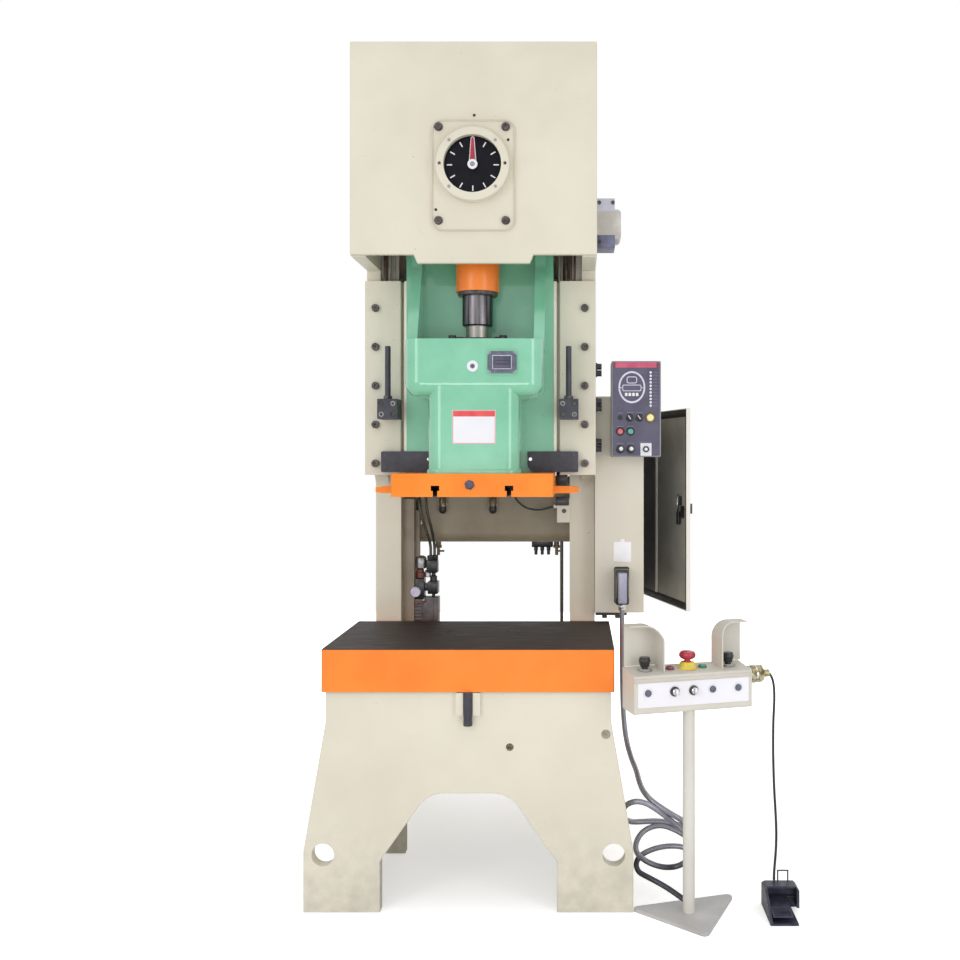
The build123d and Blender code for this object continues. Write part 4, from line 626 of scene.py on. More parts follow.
tick = [(dial["tickTo"], dial["tickHalf"]), (dial["tickFrom"], dial["tickHalf"]),
        (dial["tickFrom"], -dial["tickHalf"]), (dial["tickTo"], -dial["tickHalf"])]
dialLooks = {
    "dialFace": {
        "finish": ("dialBlack", "dial_grey"),
        "turned": [([(10.8, 0), (105.5, 0), (105.5, 8.5), (101.5, 8.5), (100.5, 7), (14, 7), (13, 6),
            (10.8, 6), (10.8, 0)], [(0, dial["faceY"], dial["z"])], "front", 96)]},
    "dialTicks": {
        "finish": ("whitePrint", "dial_grey"),
        "flat": [([spun(tick, 360 * i / dial["ticks"]) for i in range(dial["ticks"])], 0.8,
            [(0, dial["tickY"], dial["z"])])]},
    "pointerEdge": {
        "finish": ("whitePrint", "dial_grey"), "body": "crankshaft",
        "flat": [([[(-13.5, 15), (13.5, 15), (7, 98), (0, 104), (-7, 98)]], 1.5,
            [(0, dial["needleY"], dial["z"])])],
        "turned": [([(9.5, 0), (18.4, 0), (18.4, 1), (15.5, 3), (9.5, 3), (9.5, 0)],
            [(0, dial["hubY"], dial["z"])])]},
    "dialRingScrewsDark": {
        "finish": ("boltDark", "black_steel"),
        "screws": [([ringScrew(a) for a in dial["darkAt"]], 5.5, 2.6, "front")]},
    "dialRingScrews": {
        "finish": ("zincPlate", "machined_steel"),
        "screws": [([ringScrew(a) for a in dial["brightAt"]], 5.5, 2.6, "front")]},
    # painted shade: a ring of darker cream round the dial plate stands in for the shade along the plate's edge
    "dialPlateEdgeShade": {
        "finish": ("plateEdgeShade", "cream_paint"),
        "flat": [([rounded(306, 409, 38), rounded(297, 400, 34)], 2.4, [dial["plate"]], 0.9)]},
    "dialPlateBolts": {
        "finish": ("boltDark", "black_steel"),
        "turned": [([(16, 0), (16, 1.5), (14.5, 1.5), (14.5, 10), (12.5, 12), (6, 12), (5.5, 9)],
            [(x, -183, z) for z in dial["boltZ"] for x in dial["boltX"]], "front", 24)]},
    "dialSmallScrews": {
        "finish": ("blackPlastic", "black_steel"),
        "screws": [([(129, -183, 2777), (-138, -183, 2519), (3, -175, 2870)], 5, 2.5, "front")]},
}
build(dialLooks)
print("stage: dial dressed")


# Ram: grease point, die height counter, blank placard, slide bolt, wing plate screws.

ram = {"grease": (-2, -190, 1941), "counterX": 107.5, "counterZ": 1954.5, "drums": 5, "drumStep": 10,
       "placard": (3.5, -190, 1716.5), "placardWidth": 161, "placardHeight": 125, "placardDepth": 1.2,
       "bandHeight": 20, "bandDrop": 14, "slideBolt": (-9, -230, 1504), "wingY": 80}
countX, countZ = ram["counterX"], ram["counterZ"]
plateWidth, plateHeight = ram["placardWidth"], ram["placardHeight"]
plateX, plateY, plateZ = ram["placard"]
plateFace = plateY - ram["placardDepth"]
bandZ = plateZ + plateHeight / 2 - ram["bandDrop"]
ramLooks = {
    "greaseWasher": {
        "finish": ("whitePrint", "cream_paint"),
        "turned": [([(8, 0), (21, 0), (21, 2), (19, 3.6), (10, 3.6), (8, 2.4), (8, 0)], [ram["grease"]])]},
    "greaseBolt": {
        "finish": ("greyPlastic", "black_steel"),
        "turned": [([(9, 0), (9, 4), (7.5, 5.5), (3, 5.5), (2.6, 3)], [ram["grease"]], "front", 6)]},
    "counterBezel": {
        "finish": ("greyPlastic", "black_plastic"),
        "flat": [([rounded(96, 82, 7), rounded(70, 50, 3)], 3.4, [(countX, -198, countZ)], 0.5)],
        "boxes": [((x - 7, -200, countZ - 28), (x + 7, -197, countZ + 28), 0.8)
            for x in (countX - 47, countX + 47)]},
    "counterRim": {
        "finish": ("lilacPrint", "machined_steel"),
        "flat": [([rounded(72, 52, 3), rounded(67.5, 47.5, 2)], 1.6, [(countX, -200.2, countZ)])]},
    "counterDrums": {
        "finish": ("panelFilm", "black_plastic"),
        "boxes": [((countX - 32.4, -195.6, countZ - 22.4), (countX + 32.4, -194, countZ + 22.4), 0.5)],
        "turned": [([(7, -5), (8, -4), (8, 4), (7, 5)],
            [(countX + (i - ram["drums"] // 2) * ram["drumStep"], -196, countZ) for i in range(ram["drums"])],
            "right", 24)]},
    "counterScrews": {
        "finish": ("zincPlate", "machined_steel"),
        "screws": [([(countX + across, -201, countZ + up) for across in (-45, 45) for up in (-37, 37)],
            5, 1.8, "front")]},
    "blankPlacard": {
        "finish": ("whitePrint", "machined_steel"),
        "flat": [([rounded(plateWidth, plateHeight, 3)], ram["placardDepth"], [ram["placard"]], 0.3)]},
    "placardRim": {
        "finish": ("placardRed", "red_plastic"),
        "flat": [([rounded(plateWidth - 3, plateHeight - 3, 3), rounded(plateWidth - 7, plateHeight - 7, 2)],
            0.5, [(plateX, plateFace, plateZ)]),
            ([rounded(plateWidth - 8, ram["bandHeight"], 1.5)], 0.5, [(plateX, plateFace, bandZ)])]},
    "slideBolt": {
        "finish": ("slateSteel", "black_steel"),
        "turned": [([(19, 0), (19, 1), (16, 1), (16, 9), (14, 11), (6.5, 11), (6, 6)], [ram["slideBolt"]],
            "front", 6, 15)]},
    "wingScrews": {
        "finish": ("brightChrome", "machined_steel"),
        "screws": [(bothSides((200, ram["wingY"], 1597)), 7, 3, "front")]},
    "wingScrewsDark": {
        "finish": ("boltDark", "black_steel"),
        "screws": [(bothSides((372, ram["wingY"], 1612), (372, ram["wingY"], 1562)), 5, 2, "front")]},
}
build(ramLooks, body="ram")
print("stage: ram dressed")


# Gibs: lube pipes over the covers with pale boards behind them as painted light, nuts on the stop rods, screws
# on their blocks.

gib = {"pipeFoot": 2300, "pipeTop": 2446, "pale": ((-366, 6), (-347, 4), (312, 5), (322, 3.5)),
       "dark": ((-383, 8), (338, 8), (356, 7), (374, 4)), "nut": (351, 22, 1831), "nutHeight": 12,
       "screwY": 10, "ringY": 4.4, "blockX": (328, 373), "blockZ": (1771, 1813)}
pipeFoot, pipeTop, nutTop = gib["pipeFoot"], gib["pipeTop"], gib["nutHeight"]
(blockIn, blockOut), (blockLow, blockHigh) = gib["blockX"], gib["blockZ"]
gibLooks = {
    # painted light: pale boards behind the lube pipes stand in for the lit cream seen in the recess, which the
    # lamps do not reach
    "litRecessBoards": {
        "finish": ("shadedCreamBeige", "cream_paint"), "boxes": mirrored(((332, 172, 2304), (402, 178, 2448), 1.5))},
    "lubePipes": {
        "finish": ("plugBeige", "machined_steel"),
        "pipes": [([(x, 152, pipeFoot), (x, 152, 2350), (x + 2, 153, 2400), (x + 2, 153, pipeTop)], radius)
            for x, radius in gib["pale"]]},
    "lubePipesDark": {
        "finish": ("pipeBrown", "black_rubber"),
        "pipes": [([(x, 155, pipeFoot), (x, 155, pipeTop)], radius) for x, radius in gib["dark"]]},
    "stopRodNuts": {
        "finish": ("boltDark", "black_steel"),
        "turned": [([(11.6, 0), (17, 0), (18.5, 1.5), (18.5, nutTop - 1.5), (17, nutTop), (11.6, nutTop),
            (11.6, 0)], bothSides(gib["nut"]), "up", 6, 12)]},
    "stopBlockRings": {
        "finish": ("zincPlate", "machined_steel"),
        "turned": [([(6.6, 0), (10, 0), (10, 1.6), (9, 2.4), (6.6, 2.4), (6.6, 0)],
            bothSides((blockIn, gib["ringY"], blockHigh), (blockOut, gib["ringY"], blockLow)))]},
    "stopBlockScrews": {
        "finish": ("boltDark", "black_steel"),
        "turned": [([(8.2, 0), (8.2, 5), (7.4, 6), (4, 6), (3.8, 3)],
            bothSides(*[(x, gib["screwY"], z) for x in gib["blockX"] for z in gib["blockZ"]]),
            "front", 20)]},
}
build(gibLooks)
print("stage: gibs dressed")


# Throat: two air bullets on the tank, the manifold under it and the cable clamp.

throat = {"bulletX": (-190, 24), "bulletY": 442, "bulletZ": 1400, "portX": (200, 228, 256), "portY": 655}
bulletPlaces = [(x, throat["bulletY"], throat["bulletZ"]) for x in throat["bulletX"]]
throatLooks = {
    "airBullets": {
        "finish": ("bulletGrey", "machined_steel"),
        "turned": [([(6, 36), (12, 34), (15, 28), (15, -6), (13, -8)], bulletPlaces, "up", 28)]},
    "airBulletEnds": {
        "finish": ("blackPlastic", "black_plastic"),
        "turned": [([(12.6, -8), (15.5, -9), (15.5, -24), (11, -33), (5, -36)], bulletPlaces, "up", 28)]},
    "airBulletClamps": {
        "finish": ("tankEnamel", "cream_paint"),
        "boxes": [((x - 20, 436, z + 2), (x + 20, 461, z + 10), 1.5) for x, y, z in bulletPlaces]
            + [((x - 24, 455, z - 20), (x + 24, 462, z + 32), 1.5) for x, y, z in bulletPlaces]},
    "tankManifold": {
        "finish": ("blackPlastic", "black_steel"), "boxes": [((182, 630, 1205), (276, 690, 1243), 3)],
        "turned": [([(9, 0), (9, 16), (7, 18), (7, 34), (5, 36)],
            [(x, throat["portY"], 1206) for x in throat["portX"]], "down", 18)]},
    "cableClamp": {
        "finish": ("blackPlastic", "black_steel"),
        "boxes": [((300, 152, 1490), (345, 184, 1546), 3), ((294, 322, 1404), (350, 330, 1440), 2)],
        "turned": [([(8, 0), (9, 0), (9, 2), (8, 3)], [(329, 330, 1381)], "front", 24)]},
}
build(throatLooks)
print("stage: throat dressed")


# Air service unit: valve box, solenoid, regulator, bowl and gauge in place of the plain blocks.

airUnit = {"fins": 8, "finStep": 14, "finLow": 890, "finHeight": 8, "hosePorts": ((-222, 422), (-236, 404))}
airUnitLooks = {
    "unitPlate": {
        "finish": ("columnShade", "black_steel"),
        "boxes": [((-352, 380, 781), (-302.5, 456, 1430), 2), ((-303, 408, 1070), (-284, 436, 1380), 2)]},
    "valveBox": {
        "finish": ("valveGrey", "equipment"),
        "boxes": [((-266, 388, 870), (-203, 456, 1013), 3), ((-303, 388, 870), (-264, 456, 1006), 3),
            ((-266, 384, 880), (-222, 389, 1006), 1.5)]
            + [((-301, 383, low), (-268, 389, low + airUnit["finHeight"]), 1.2)
            for low in [airUnit["finLow"] + i * airUnit["finStep"] for i in range(airUnit["fins"])]]},
    "valveSolenoid": {
        "finish": ("blackPlastic", "black_plastic"),
        "boxes": [((-248, 388, 1027), (-205, 452, 1080), 4), ((-303, 388, 1006), (-262, 452, 1092), 3),
            ((-264, 396, 1040), (-246, 448, 1070), 2)],
        "turned": [([(15, 0), (15, 22), (9, 26), (9, 44)], [(-226, 420, 1078)], "up", 24),
            ([(7, 0), (7, 16)], [(-226, 420, 1012)], "up", 16)]},
    "airRegulator": {
        "finish": ("regulatorRed", "bronze"), "boxes": [((-300, 381, 986), (-262, 388, 996), 1.5)],
        "turned": [([(16, 0), (21, 3), (21, 24), (18, 27), (18, 36), (13, 40)], [(-284, 420, 1092)], "up", 28),
            ([(6, 0), (6, 9), (4, 10)], [(-262, 384, 1000)], "front", 16)]},
    "filterBowl": {
        "finish": ("zincPlate", "machined_steel"),
        "turned": [([(20, 0), (24, 4), (25, 20), (25, 42), (20, 50), (12, 54)], [(-280, 420, 1133)], "up", 32),
            ([(11, 0), (13, 2), (13, 26), (11, 30)], [(-250, 418, 1096)], "up", 20),
            ([(6, 0), (6, 14), (5, 16)], [(-257, 404, 1040)], "up", 16),
            ([(5, 0), (5, 10), (3.5, 11)], [(-262, 383, 1004)], "front", 16),
            ([(8, 0), (9, 2), (9, 18), (7, 20), (7, 42)], [(-291, 445, 1380)], "up", 18),
            ([(7, 0), (8, 1), (8, 18), (6, 20)], [(-279, 430, 1320)], "up", 18)]},
    "airGauge": {
        "finish": ("lilacPrint", "machined_steel"),
        "turned": [([(18, 0), (21, 2), (21, 16), (19, 18), (17.5, 18), (17.5, 16.5)], [(-297, 392, 1037)],
            "front", 36)]},
    "hosePorts": {
        "finish": ("blackPlastic", "black_plastic"), "boxes": [((-254, 392, 1116), (-206, 440, 1170), 5)],
        "turned": [([(14, 0), (15, 2), (15, 20), (10, 22)], [(x, y, 1168) for x, y in airUnit["hosePorts"]],
            "up", 20)]},
}
airPieces = build(airUnitLooks)
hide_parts("air_service_unit")
print("stage: air unit built")


# Cabinet front: plate over the legs, conduit collar and plug hood.

collarPlace = (566, 215, 986)
cabinetLooks = {
    "cabinetPlate": {
        "finish": ("plainPaper", "cream_paint"),
        "boxes": [((533, 267, 1175), (605, 271, 1257), 1), ((560, 266, 1257), (578, 271, 1268), 1)]},
    "plugHoodFront": {
        "finish": ("hoodBlue", "equipment"),
        "boxes": [((549, 183, 1014), (585, 192, 1138), 5, 3), ((553, 181, 1026), (581, 185, 1126), 2)]},
    "plugHood": {
        "finish": ("blackPlastic", "black_plastic"),
        "boxes": [((539.6, 188, 1008.5), (593.4, 272, 1150), 7, 4),
            ((536, 262, 1006), (597, 271.5, 1155), 6, 3)]},
    "conduitCollar": {
        "finish": ("brightChrome", "machined_steel"),
        "turned": [([(10.6, 0), (15, 0), (16, 2), (16, 22), (14, 26), (10.6, 26), (10.6, 0)], [collarPlace],
            "up", 32),
            ([(10.6, 0), (19, 0), (19, 12), (10.6, 12), (10.6, 0)], [(*collarPlace[:2], 1002)], "up", 6)]},
}
build(cabinetLooks)
print("stage: cabinet front dressed")


# Cabinet door: liner, seal and latch, drawn as if the door stood square and then turned with it.

door = {"front": 276, "rear": 966, "low": 975, "top": 1802, "skin": 671, "sealX": (661, 668)}
sealIn, sealOut = door["sealX"]
doorLooks = {
    "doorLiner": {
        "finish": ("doorLiner", "equipment"),
        "boxes": [((664.6, door["front"], door["low"]), (door["skin"], door["rear"], door["top"]), 0.8)]},
    "doorLinerRear": {
        "finish": ("doorShade", "equipment"), "boxes": [((662.8, 690, 1000), (665.5, 946, 1790), 0.8)]},
    "doorStiffener": {
        "finish": ("doorCoat", "cabinet_grey"), "boxes": [((659.5, 662, 1000), (665.5, 682, 1782), 2)]},
    "doorLatch": {
        "finish": ("blackPlastic", "black_plastic"),
        "boxes": [((645, 336, 1322), (652.5, 364, 1376), 3), ((651, 357, 1324), (665, 364, 1376), 2),
            ((647, 340, 1403), (665, 362, 1442), 3), ((646, 344, 1370), (652.5, 356, 1408), 2)]},
    "doorLatchLever": {
        "finish": ("brightChrome", "machined_steel"),
        "pipes": [([(650, 352, 1376), (648, 352, 1398), (648, 352, 1420), (647, 346, 1446), (648, 330, 1450),
            (650, 322, 1450)], 4)]},
    "doorSeal": {
        "finish": ("sealRubber", "black_rubber"),
        "boxes": [((sealIn, door["front"], 1774), (sealOut, door["rear"], door["top"]), 2),
            ((sealIn, door["front"], 973), (sealOut, door["rear"], 1000), 2),
            ((sealIn, door["front"], door["low"]), (sealOut, 292, 1801), 2),
            ((sealIn, 946, door["low"]), (sealOut, door["rear"], 1801), 2)]},
}
build(doorLooks, body="cabinet_door", seat=onDoor)
print("stage: cabinet door dressed")


# Operator panel: film, header, mimic ring, plain marks, lamps, knobs and key switch.

panel = {"x": 620, "y": 150, "z": 1798, "printY": 149, "buttonX": (556, 597), "buttonZ": 1708,
         "buttonHole": 14.6, "mimicX": 602.5, "mimicSquash": 1.2, "headerZ": 1974,
         "lamps": 11, "lampX": 677.5, "lampTop": 1944,
         "lampStep": 13.3, "blocks": 4, "blockStep": 14.5, "turnKnobX": (594, 633), "rowZ": 1763,
         "bigKnobX": (556, 597), "bigKnobZ": 1637, "keyX": 659,
         "labels": ((555, 1782, 20), (596, 1784, 26), (634, 1784, 26), (555, 1728, 26), (597, 1728, 26),
                    (556, 1659, 26), (597, 1661, 26), (658, 1665, 52))}
panelY, printY, mimicX, rowZ = panel["y"], panel["printY"], panel["mimicX"], panel["rowZ"]
buttonPlaces = [(x, panelY, panel["buttonZ"]) for x in panel["buttonX"]]
buttonHoles = [circle(panel["buttonHole"], (x - panel["x"], z - panel["z"])) for x, y, z in buttonPlaces]
lampHeights = [panel["lampTop"] - i * panel["lampStep"] for i in range(panel["lamps"])]
panelLooks = {
    "panelFilm": {
        "finish": ("panelFilm", "panel_grey"),
        "flat": [([rounded(188, 374, 4)] + buttonHoles, 1.0, [(panel["x"], panelY, panel["z"])])]},
    "panelHeader": {
        "finish": ("panelHeader", "red_plastic"),
        "flat": [([rounded(166, 22, 2)], 1.2, [(panel["x"] - 2, printY, panel["headerZ"])])]},
    "panelHeaderEnds": {
        "finish": ("lampRed", "red_plastic"),
        "flat": [([rounded(9, 22, 1)], 1.3, [(x, printY, panel["headerZ"]) for x in (532.5, 708)])]},
    "panelMarks": {
        "finish": ("lilacPrint", "panel_grey"),
        "flat": [([circle(radius, sides=72, squash=panel["mimicSquash"]) for radius in (53.5, 47)], 1.2,
            [(mimicX, printY, 1885)]),
            ([rounded(42, 28, 9), rounded(35, 21, 6)], 0.8, [(mimicX, printY, 1914)]),
            ([rounded(76, 26, 6), rounded(70, 20, 4)], 0.8, [(mimicX, printY, 1882)]),
            ([rounded(14, 3, 1)], 0.8, [(mimicX + side * 46, printY, 1883) for side in (-1, 1)])]},
    "panelTicks": {
        "finish": ("faintPrint", "panel_grey"),
        "flat": [([rounded(wide, 2, 0.8)], 0.6, [(x, printY, z)]) for x, z, wide in panel["labels"]]
            + [([rounded(15, 1.6, 0.7)], 0.6, [(696, printY, z) for z in lampHeights])]},
    "panelWhites": {
        "finish": ("whitePrint", "panel_grey"),
        "flat": [([rounded(10.5, 13, 2)], 0.9,
            [(580 + i * panel["blockStep"], printY, 1856) for i in range(panel["blocks"])])],
        "turned": [([(5, 0), (5, 1.5), (4, 2.8), (2, 3.4)], [(panel["lampX"], printY, z) for z in lampHeights],
            "front", 20)]},
    "panelKnobs": {
        "finish": ("blackPlastic", "black_plastic"),
        "turned": [([(16, 0), (16, 2), (13, 3), (12, 17), (10.5, 18.5)],
            [(x, panelY, rowZ) for x in panel["turnKnobX"]], "front", 32),
            ([(9, 0), (9, 4), (7.5, 7), (3, 7)], [(556, panelY, rowZ)], "front", 28),
            ([(17, 0), (17, 2), (14, 3), (13, 19), (11.5, 20.5)],
            [(x, panelY, panel["bigKnobZ"]) for x in panel["bigKnobX"]], "front", 32)]},
    "panelKnobMarks": {
        "finish": ("whitePrint", "panel_grey"),
        "flat": [([[(-8.5, 8), (-6, 9.5), (5, -5.5), (2.5, -7)]], 0.8,
            [(x, panelY - 18.4, rowZ) for x in panel["turnKnobX"]])],
        "turned": [([(8, 0), (8, 1.6), (6, 2.6)],
            [(x + 3, panelY - 20.3, panel["bigKnobZ"] + 2) for x in panel["bigKnobX"]], "front", 28)]},
    "panelLampCollar": {
        "finish": ("lampOlive", "black_plastic"),
        "turned": [([(13, 0), (20, 0), (20, 4), (18, 7), (14.6, 7), (13, 5), (13, 0)],
            [(676, panelY, rowZ)])]},
    "panelLamp": {
        "finish": ("lampYellow", "brass"),
        "turned": [([(14.4, 0), (14.4, 6), (13, 9), (9, 11), (4, 12)], [(676, panelY, rowZ)])]},
    "keyPlate": {
        "finish": ("whitePrint", "panel_grey"),
        "flat": [([rounded(44, 50, 2)], 1.2, [(panel["keyX"], printY, panel["bigKnobZ"] - 1)])]},
    "keyRing": {
        "finish": ("blackPlastic", "black_plastic"),
        "turned": [([(6.5, 2), (12.4, 0), (12.4, 10.5), (10.5, 11.5), (7, 11.5), (6.5, 10.5), (6.5, 2)],
            [(panel["keyX"], panelY, panel["bigKnobZ"])])]},
    "keyCore": {
        "finish": ("whitePrint", "machined_steel"),
        "turned": [([(6.4, 0), (6.4, 11), (5.5, 11.6)], [(panel["keyX"], panelY, panel["bigKnobZ"])],
            "front", 24)]},
    "panelButtonRings": {
        "finish": ("blackPlastic", "black_plastic"),
        "turned": [([(11.5, 0), (17, 0), (17, 4), (15.5, 6), (12.5, 6.4), (11.5, 5.4), (11.5, 0)],
            buttonPlaces)]},
}
build(panelLooks)
print("stage: panel dressed")


# Control stand: sticker, buttons, lamps, yellow shroud, rolled guard lips, gland rings.

stand = {"length": 440, "rowZ": 800, "buttons": (0.11, 0.654, 0.874), "selectors": (0.334, 0.494),
         "lamps": (("Red", 0.35), ("Green", 0.63)), "deep": 66, "stopX": 222.2, "palms": (62, 378)}
standButtons = [(share * stand["length"], 0, stand["rowZ"]) for share in stand["buttons"]]
standSelectors = [(share * stand["length"], 0, stand["rowZ"]) for share in stand["selectors"]]
selectorHoles = [circle(13, (x - 220, 8)) for x, y, z in standSelectors]
deep, stopX = stand["deep"], stand["stopX"]

guardLip = {"walls": ((122, 4), (337, 449)), "radius": 2.6, "front": 27, "foot": 864, "bend": 55.4,
            "bendFrom": 963, "bendSteps": 6, "lean": 0.72 * 40 / 56, "leanFrom": 967, "end": (1.5, 60, 1018.4)}


def lipRoute(wall, openEnd):
    # the guard's front edge: up its inner wall, round the corner and out along the top
    outward = 1 if openEnd > wall else -1
    inner = wall + outward * guardLip["radius"]
    rise = [(0, guardLip["foot"]), (0, 905), (0, 945), (1, 961), (4, 973)]
    route = [(inner, guardLip["front"] + back, z) for back, z in rise]
    for i in range(1, guardLip["bendSteps"] + 1):
        angle = math.pi / 2 * i / guardLip["bendSteps"]
        z = guardLip["bendFrom"] + guardLip["bend"] * math.sin(angle)
        x = inner + outward * guardLip["bend"] * (1 - math.cos(angle))
        route.append((x, guardLip["front"] + max(0, z - guardLip["leanFrom"]) * guardLip["lean"], z))
    short, endY, endZ = guardLip["end"]
    return route + [(openEnd - outward * short, endY, endZ)]


standLooks = {
    "standSticker": {
        "finish": ("stickerSheet", "panel_grey"),
        "flat": [([rounded(414, 84, 4)] + selectorHoles, 0.7, [(220, -0.2, 792)])]},
    # painted shade: a grey-beige band over the guard lip's front face stands in for the shade on it
    "standLipShadeBand": {
        "finish": ("shadedCreamBeige", "cabinet_grey"), "boxes": [((4, -6.8, 836.5), (436, -5, 848), 0.8)]},
    "stopCap": {
        "finish": ("crimson", "red_plastic"), "body": "emergency_stop",
        "turned": [([(20, 0), (26, 3), (29, 8), (29.5, 14), (28, 20), (22, 24), (12, 25.7)],
            [(stopX, deep, 898)], "up", 48)]},
    "standButtons": {
        "finish": ("greyPlastic", "black_plastic"),
        "turned": [([(11.6, 0), (11.6, 8.4), (10, 10), (5, 10.6)], standButtons)]},
    "standButtonRings": {
        "finish": ("whitePrint", "machined_steel"),
        "turned": [([(11.8, 0), (16.5, 0), (16.5, 4.6), (15.5, 5.6), (12.6, 5.6), (11.8, 4.8), (11.8, 0)],
            standButtons)]},
    "selectorBezels": {
        "finish": ("boltDark", "black_steel"),
        "turned": [([(12.5, 0), (17, 0), (17, 5), (16, 6.5), (13.3, 6.5), (12.5, 5.6), (12.5, 0)],
            standSelectors)]},
    "stopShroud": {
        "finish": ("guardYellow", "brass"),
        "turned": [([(13, 0), (36, 0), (36, 4), (32.5, 7), (24, 24), (21, 25), (13, 25), (13, 0)],
            [(stopX, deep, 862.5)], "up", 48)]},
    "palmWashers": {
        "finish": ("zincPlate", "machined_steel"),
        "turned": [([(12, 0), (27, 0), (27, 2), (25.5, 3), (12, 3), (12, 0)],
            [(x, deep, 864.8) for x in stand["palms"]], "up")]},
    "guardLips": {
        "finish": ("consoleCoat", "cabinet_grey"),
        "pipes": [(lipRoute(*walls), guardLip["radius"]) for walls in guardLip["walls"]]},
    "glandRings": {
        "finish": ("brightChrome", "machined_steel"),
        "turned": [([(20, 0), (29, 0), (30, 1.5), (30, 6), (29, 7.5), (20, 7.5), (20, 0)],
            [(x, 40, 834) for x in (440.5, 466)], "right")]},
}
for (x, y, z), body in zip(standSelectors, ("stand_selector_left", "stand_selector_right")):
    standLooks[body + "_lever"] = {
        "finish": ("whitePrint", "panel_grey"), "body": body,
        "flat": [([[(-3.4, -3), (3.4, -3), (4.2, 11), (-4.2, 11)]], 2.2, [(x, -23, z)])]}
for x, body in zip(stand["palms"], ("palm_button_left", "palm_button_right")):
    standLooks[body + "_cap"] = {
        "finish": ("blackPlastic", "black_plastic"), "body": body,
        "turned": [([(17.6, 0), (18.6, 1.5), (17.6, 3)], [(x, deep, 907.6)], "up")]}
for tint, share in stand["lamps"]:
    standLooks["standLamp" + tint] = {
        "finish": ("lamp" + tint, tint.lower() + "_plastic"),
        "turned": [([(15.6, 0), (15.6, 3.4), (14.4, 4), (14.4, 10), (12, 12.4), (6, 13.6)],
            [(share * stand["length"], 60, 863)], "up")]}
build(standLooks, seat=onStand)
print("stage: stand dressed")


# Foot switch screw, leg plug, junction box bolts and lower part.

smallLooks = {
    "pedalScrew": {
        "finish": ("brightChrome", "machined_steel"), "screws": [([(1150, -285.5, 60)], 5, 2, "back")]},
    "legPlug": {
        "finish": ("plugBeige", "black_steel"),
        "turned": [([(16, 0), (16, 1.5), (14, 3), (6, 3), (5, 1)], [(485, -365, 629)], "front", 28)]},
    "junctionLower": {
        "finish": ("junctionDark", "equipment"), "boxes": [((458, -62, 2404), (528, 61, 2451), 3)]},
    "junctionBolts": {
        "finish": ("boltDark", "black_steel"),
        "turned": [([(7, 0), (7, 5), (5.5, 6.5), (3, 6.5), (2.6, 4)],
            [(468, -60, 2574), (468, -60, 2424), (520, -60, 2574)], "front", 20)]},
}
build(smallLooks)
print("stage: small pieces made")


# Cords: the routes repeat the points of the part's source, in metres above the floor.

def layCord(name, route, width, finish, body="frame"):
    cord = drawLine(name, [[at(*place) for place in route]], closed=False)
    cord.data.bevel_depth = width / 2
    cord.data.bevel_resolution = 5
    cord.data.resolution_u = 8
    cord.data.use_fill_caps = True
    cord.data.materials.append(finishes[finish])
    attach(cord, body)
    return cord


footCordLook = {
    "width": 0.009, "length": 0.751,
    "route": [(1.0704, -0.3076, 0.833), (1.075, -0.3062, 0.827), (1.082, -0.304, 0.814),
              (1.087, -0.3025, 0.795), (1.090, -0.301, 0.768), (1.0905, -0.299, 0.728),
              (1.0877, -0.296, 0.668), (1.0872, -0.2925, 0.596),
              (1.088, -0.290, 0.530), (1.090, -0.289, 0.460), (1.093, -0.2885, 0.390), (1.0975, -0.288, 0.322),
              (1.100, -0.288, 0.256), (1.0985, -0.2885, 0.198), (1.094, -0.290, 0.146),
              (1.0905, -0.292, 0.112),
              (1.090, -0.294, 0.088)],
}
footCord = layCord("footCord", footCordLook["route"], footCordLook["width"], "cordRubber")
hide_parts("foot_cord")

conduitLook = {
    "width": 0.020, "length": 2.86,
    "drop": [(0.566, 0.215, 1.011), (0.566, 0.214, 0.900), (0.566, 0.206, 0.790), (0.566, 0.186, 0.680),
             (0.568, 0.148, 0.580), (0.575, 0.082, 0.500), (0.590, -0.010, 0.450), (0.606, -0.110, 0.430),
             (0.612, -0.190, 0.410)],
    "loops": [(0.622, -0.236, 0.392), (0.644, -0.272, 0.372), (0.680, -0.293, 0.350), (0.727, -0.296, 0.322),
              (0.772, -0.280, 0.292), (0.798, -0.245, 0.262), (0.794, -0.205, 0.248), (0.763, -0.182, 0.247),
              (0.716, -0.176, 0.257), (0.664, -0.178, 0.261), (0.615, -0.184, 0.259), (0.574, -0.198, 0.264),
              (0.551, -0.225, 0.291), (0.548, -0.258, 0.328), (0.563, -0.286, 0.358), (0.594, -0.299, 0.373),
              (0.630, -0.302, 0.367), (0.666, -0.298, 0.344), (0.710, -0.290, 0.309), (0.758, -0.272, 0.264),
              (0.789, -0.238, 0.219), (0.784, -0.200, 0.212), (0.748, -0.183, 0.229), (0.697, -0.180, 0.247),
              (0.652, -0.186, 0.241), (0.615, -0.200, 0.221), (0.595, -0.228, 0.190), (0.600, -0.258, 0.168),
              (0.628, -0.284, 0.153), (0.666, -0.297, 0.140), (0.709, -0.296, 0.132), (0.754, -0.282, 0.134),
              (0.786, -0.250, 0.144), (0.794, -0.215, 0.160), (0.777, -0.190, 0.169), (0.734, -0.184, 0.171),
              (0.689, -0.188, 0.168), (0.644, -0.200, 0.158), (0.610, -0.218, 0.144), (0.596, -0.238, 0.122)],
    "foot": [(0.606, -0.250, 0.100), (0.624, -0.258, 0.092), (0.660, -0.276, 0.080), (0.704, -0.306, 0.066),
             (0.742, -0.342, 0.052), (0.762, -0.368, 0.046)],
}
conduit = layCord("conduit", conduitLook["drop"] + conduitLook["loops"] + conduitLook["foot"],
                  conduitLook["width"], "conduitSkin")
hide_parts("conduit_upper", "conduit_coil", "conduit_lower")
print("stage: cords laid")


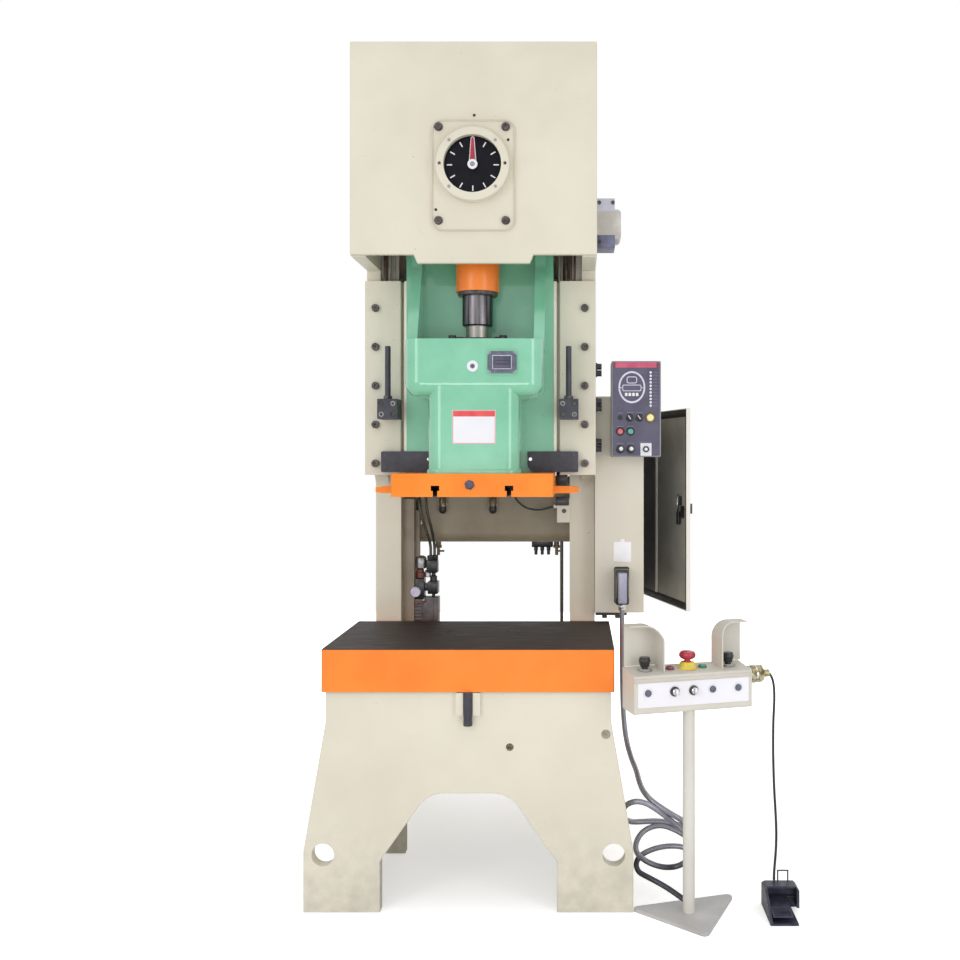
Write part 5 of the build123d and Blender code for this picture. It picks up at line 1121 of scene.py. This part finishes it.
# Studio: pale floor, soft lights and the camera of the photograph.

studioLook = {
    "eye": (0.383, -4.180, 0.676), "lens": 40.6, "shift": (-0.101, -0.024), "sensor": 36,
    "sky": 0.76, "floorSize": 14, "paper": (250, 250, 250), "paperRough": 0.9,
    "paperGlow": 0.42, "farGlow": 1.0, "glowFrom": 1.6, "glowTo": 4.2,
}
lampLooks = {
    "keyLamp": {"place": (-2.6, -4.2, 1.9), "aim": (0, 0, 0.6), "size": (1.6, 2.8), "power": 37},
    "fillLamp": {"place": (3.2, -3.6, 0.9), "aim": (0.2, 0, 0.4), "size": (1.4, 2.8), "power": 31},
    "topLamp": {"place": (0, -0.6, 4.2), "aim": (0, 0, 0), "size": (3.2, 3.2), "power": 13},
    "lowLamp": {"place": (0.1, -3.2, 0.3), "aim": (0, 0.3, 0.4), "size": (1.8, 0.5), "power": 11},
}


def paperFinish(name, look):
    # pale paper: white to the camera away from the object, with the object's shadow kept beside it
    finish = bpy.data.materials.new(name)
    finish.use_nodes = True
    tree = finish.node_tree
    shader = tree.nodes["Principled BSDF"]
    shader.inputs["Base Color"].default_value = paint(*look["paper"])
    shader.inputs["Roughness"].default_value = look["paperRough"]
    shader.inputs["Emission Color"].default_value = (1, 1, 1, 1)
    distance = addNode(tree, "ShaderNodeVectorMath", operation="LENGTH")
    link(tree, addPlace(tree), distance.inputs[0])
    glow = addRange(tree, distance.outputs["Value"], look["glowFrom"], look["glowTo"], look["paperGlow"],
                    look["farGlow"])
    camera = addNode(tree, "ShaderNodeLightPath").outputs["Is Camera Ray"]
    link(tree, addMath(tree, "MULTIPLY", glow, camera), shader.inputs["Emission Strength"])
    return finish


bpy.ops.mesh.primitive_plane_add(size=studioLook["floorSize"], location=(0, 0, -bolsterTop))
studioFloor = bpy.context.object
studioFloor.name = "studioFloor"
studioFloor.data.materials.append(paperFinish("floorPaper", studioLook))
bpy.ops.object.transform_apply(location=True)

# the sky lights the object softly, and is plain white where it is seen or mirrored
sky = bpy.data.worlds.new("studioSky")
bpy.context.scene.world = sky
sky.use_nodes = True
skyTree = sky.node_tree
skyTree.nodes.clear()
rays = addNode(skyTree, "ShaderNodeLightPath").outputs
seen = addMath(skyTree, "MAXIMUM", rays["Is Camera Ray"], rays["Is Glossy Ray"])
seen = addMath(skyTree, "MAXIMUM", seen, rays["Is Transmission Ray"])
skyMix = addNode(skyTree, "ShaderNodeMixShader")
link(skyTree, seen, skyMix.inputs["Fac"])
for socket, strength in ((1, studioLook["sky"]), (2, 1.0)):
    white = addNode(skyTree, "ShaderNodeBackground")
    white.inputs["Color"].default_value = (1, 1, 1, 1)
    white.inputs["Strength"].default_value = strength
    link(skyTree, white.outputs["Background"], skyMix.inputs[socket])
link(skyTree, skyMix.outputs["Shader"], addNode(skyTree, "ShaderNodeOutputWorld").inputs["Surface"])

for name, look in lampLooks.items():
    lamp = bpy.data.lights.new(name, "AREA")
    lamp.shape = "RECTANGLE"
    lamp.size, lamp.size_y = look["size"]
    lamp.energy = look["power"]
    holder = bpy.data.objects.new(name, lamp)
    bpy.context.scene.collection.objects.link(holder)
    holder.location = look["place"]
    holder.rotation_euler = (Vector(look["aim"]) - Vector(look["place"])).to_track_quat("-Z", "Y").to_euler()

eye = bpy.data.cameras.new("photoCamera")
eye.lens = studioLook["lens"]
eye.sensor_width = studioLook["sensor"]
eye.shift_x, eye.shift_y = studioLook["shift"]
eye.clip_end = 60
camera = bpy.data.objects.new("photoCamera", eye)
bpy.context.scene.collection.objects.link(camera)
camera.location = studioLook["eye"]
camera.rotation_euler = (math.radians(90), 0, 0)
bpy.context.scene.camera = camera
bpy.context.scene.view_settings.view_transform = "Standard"
print("stage: studio set")
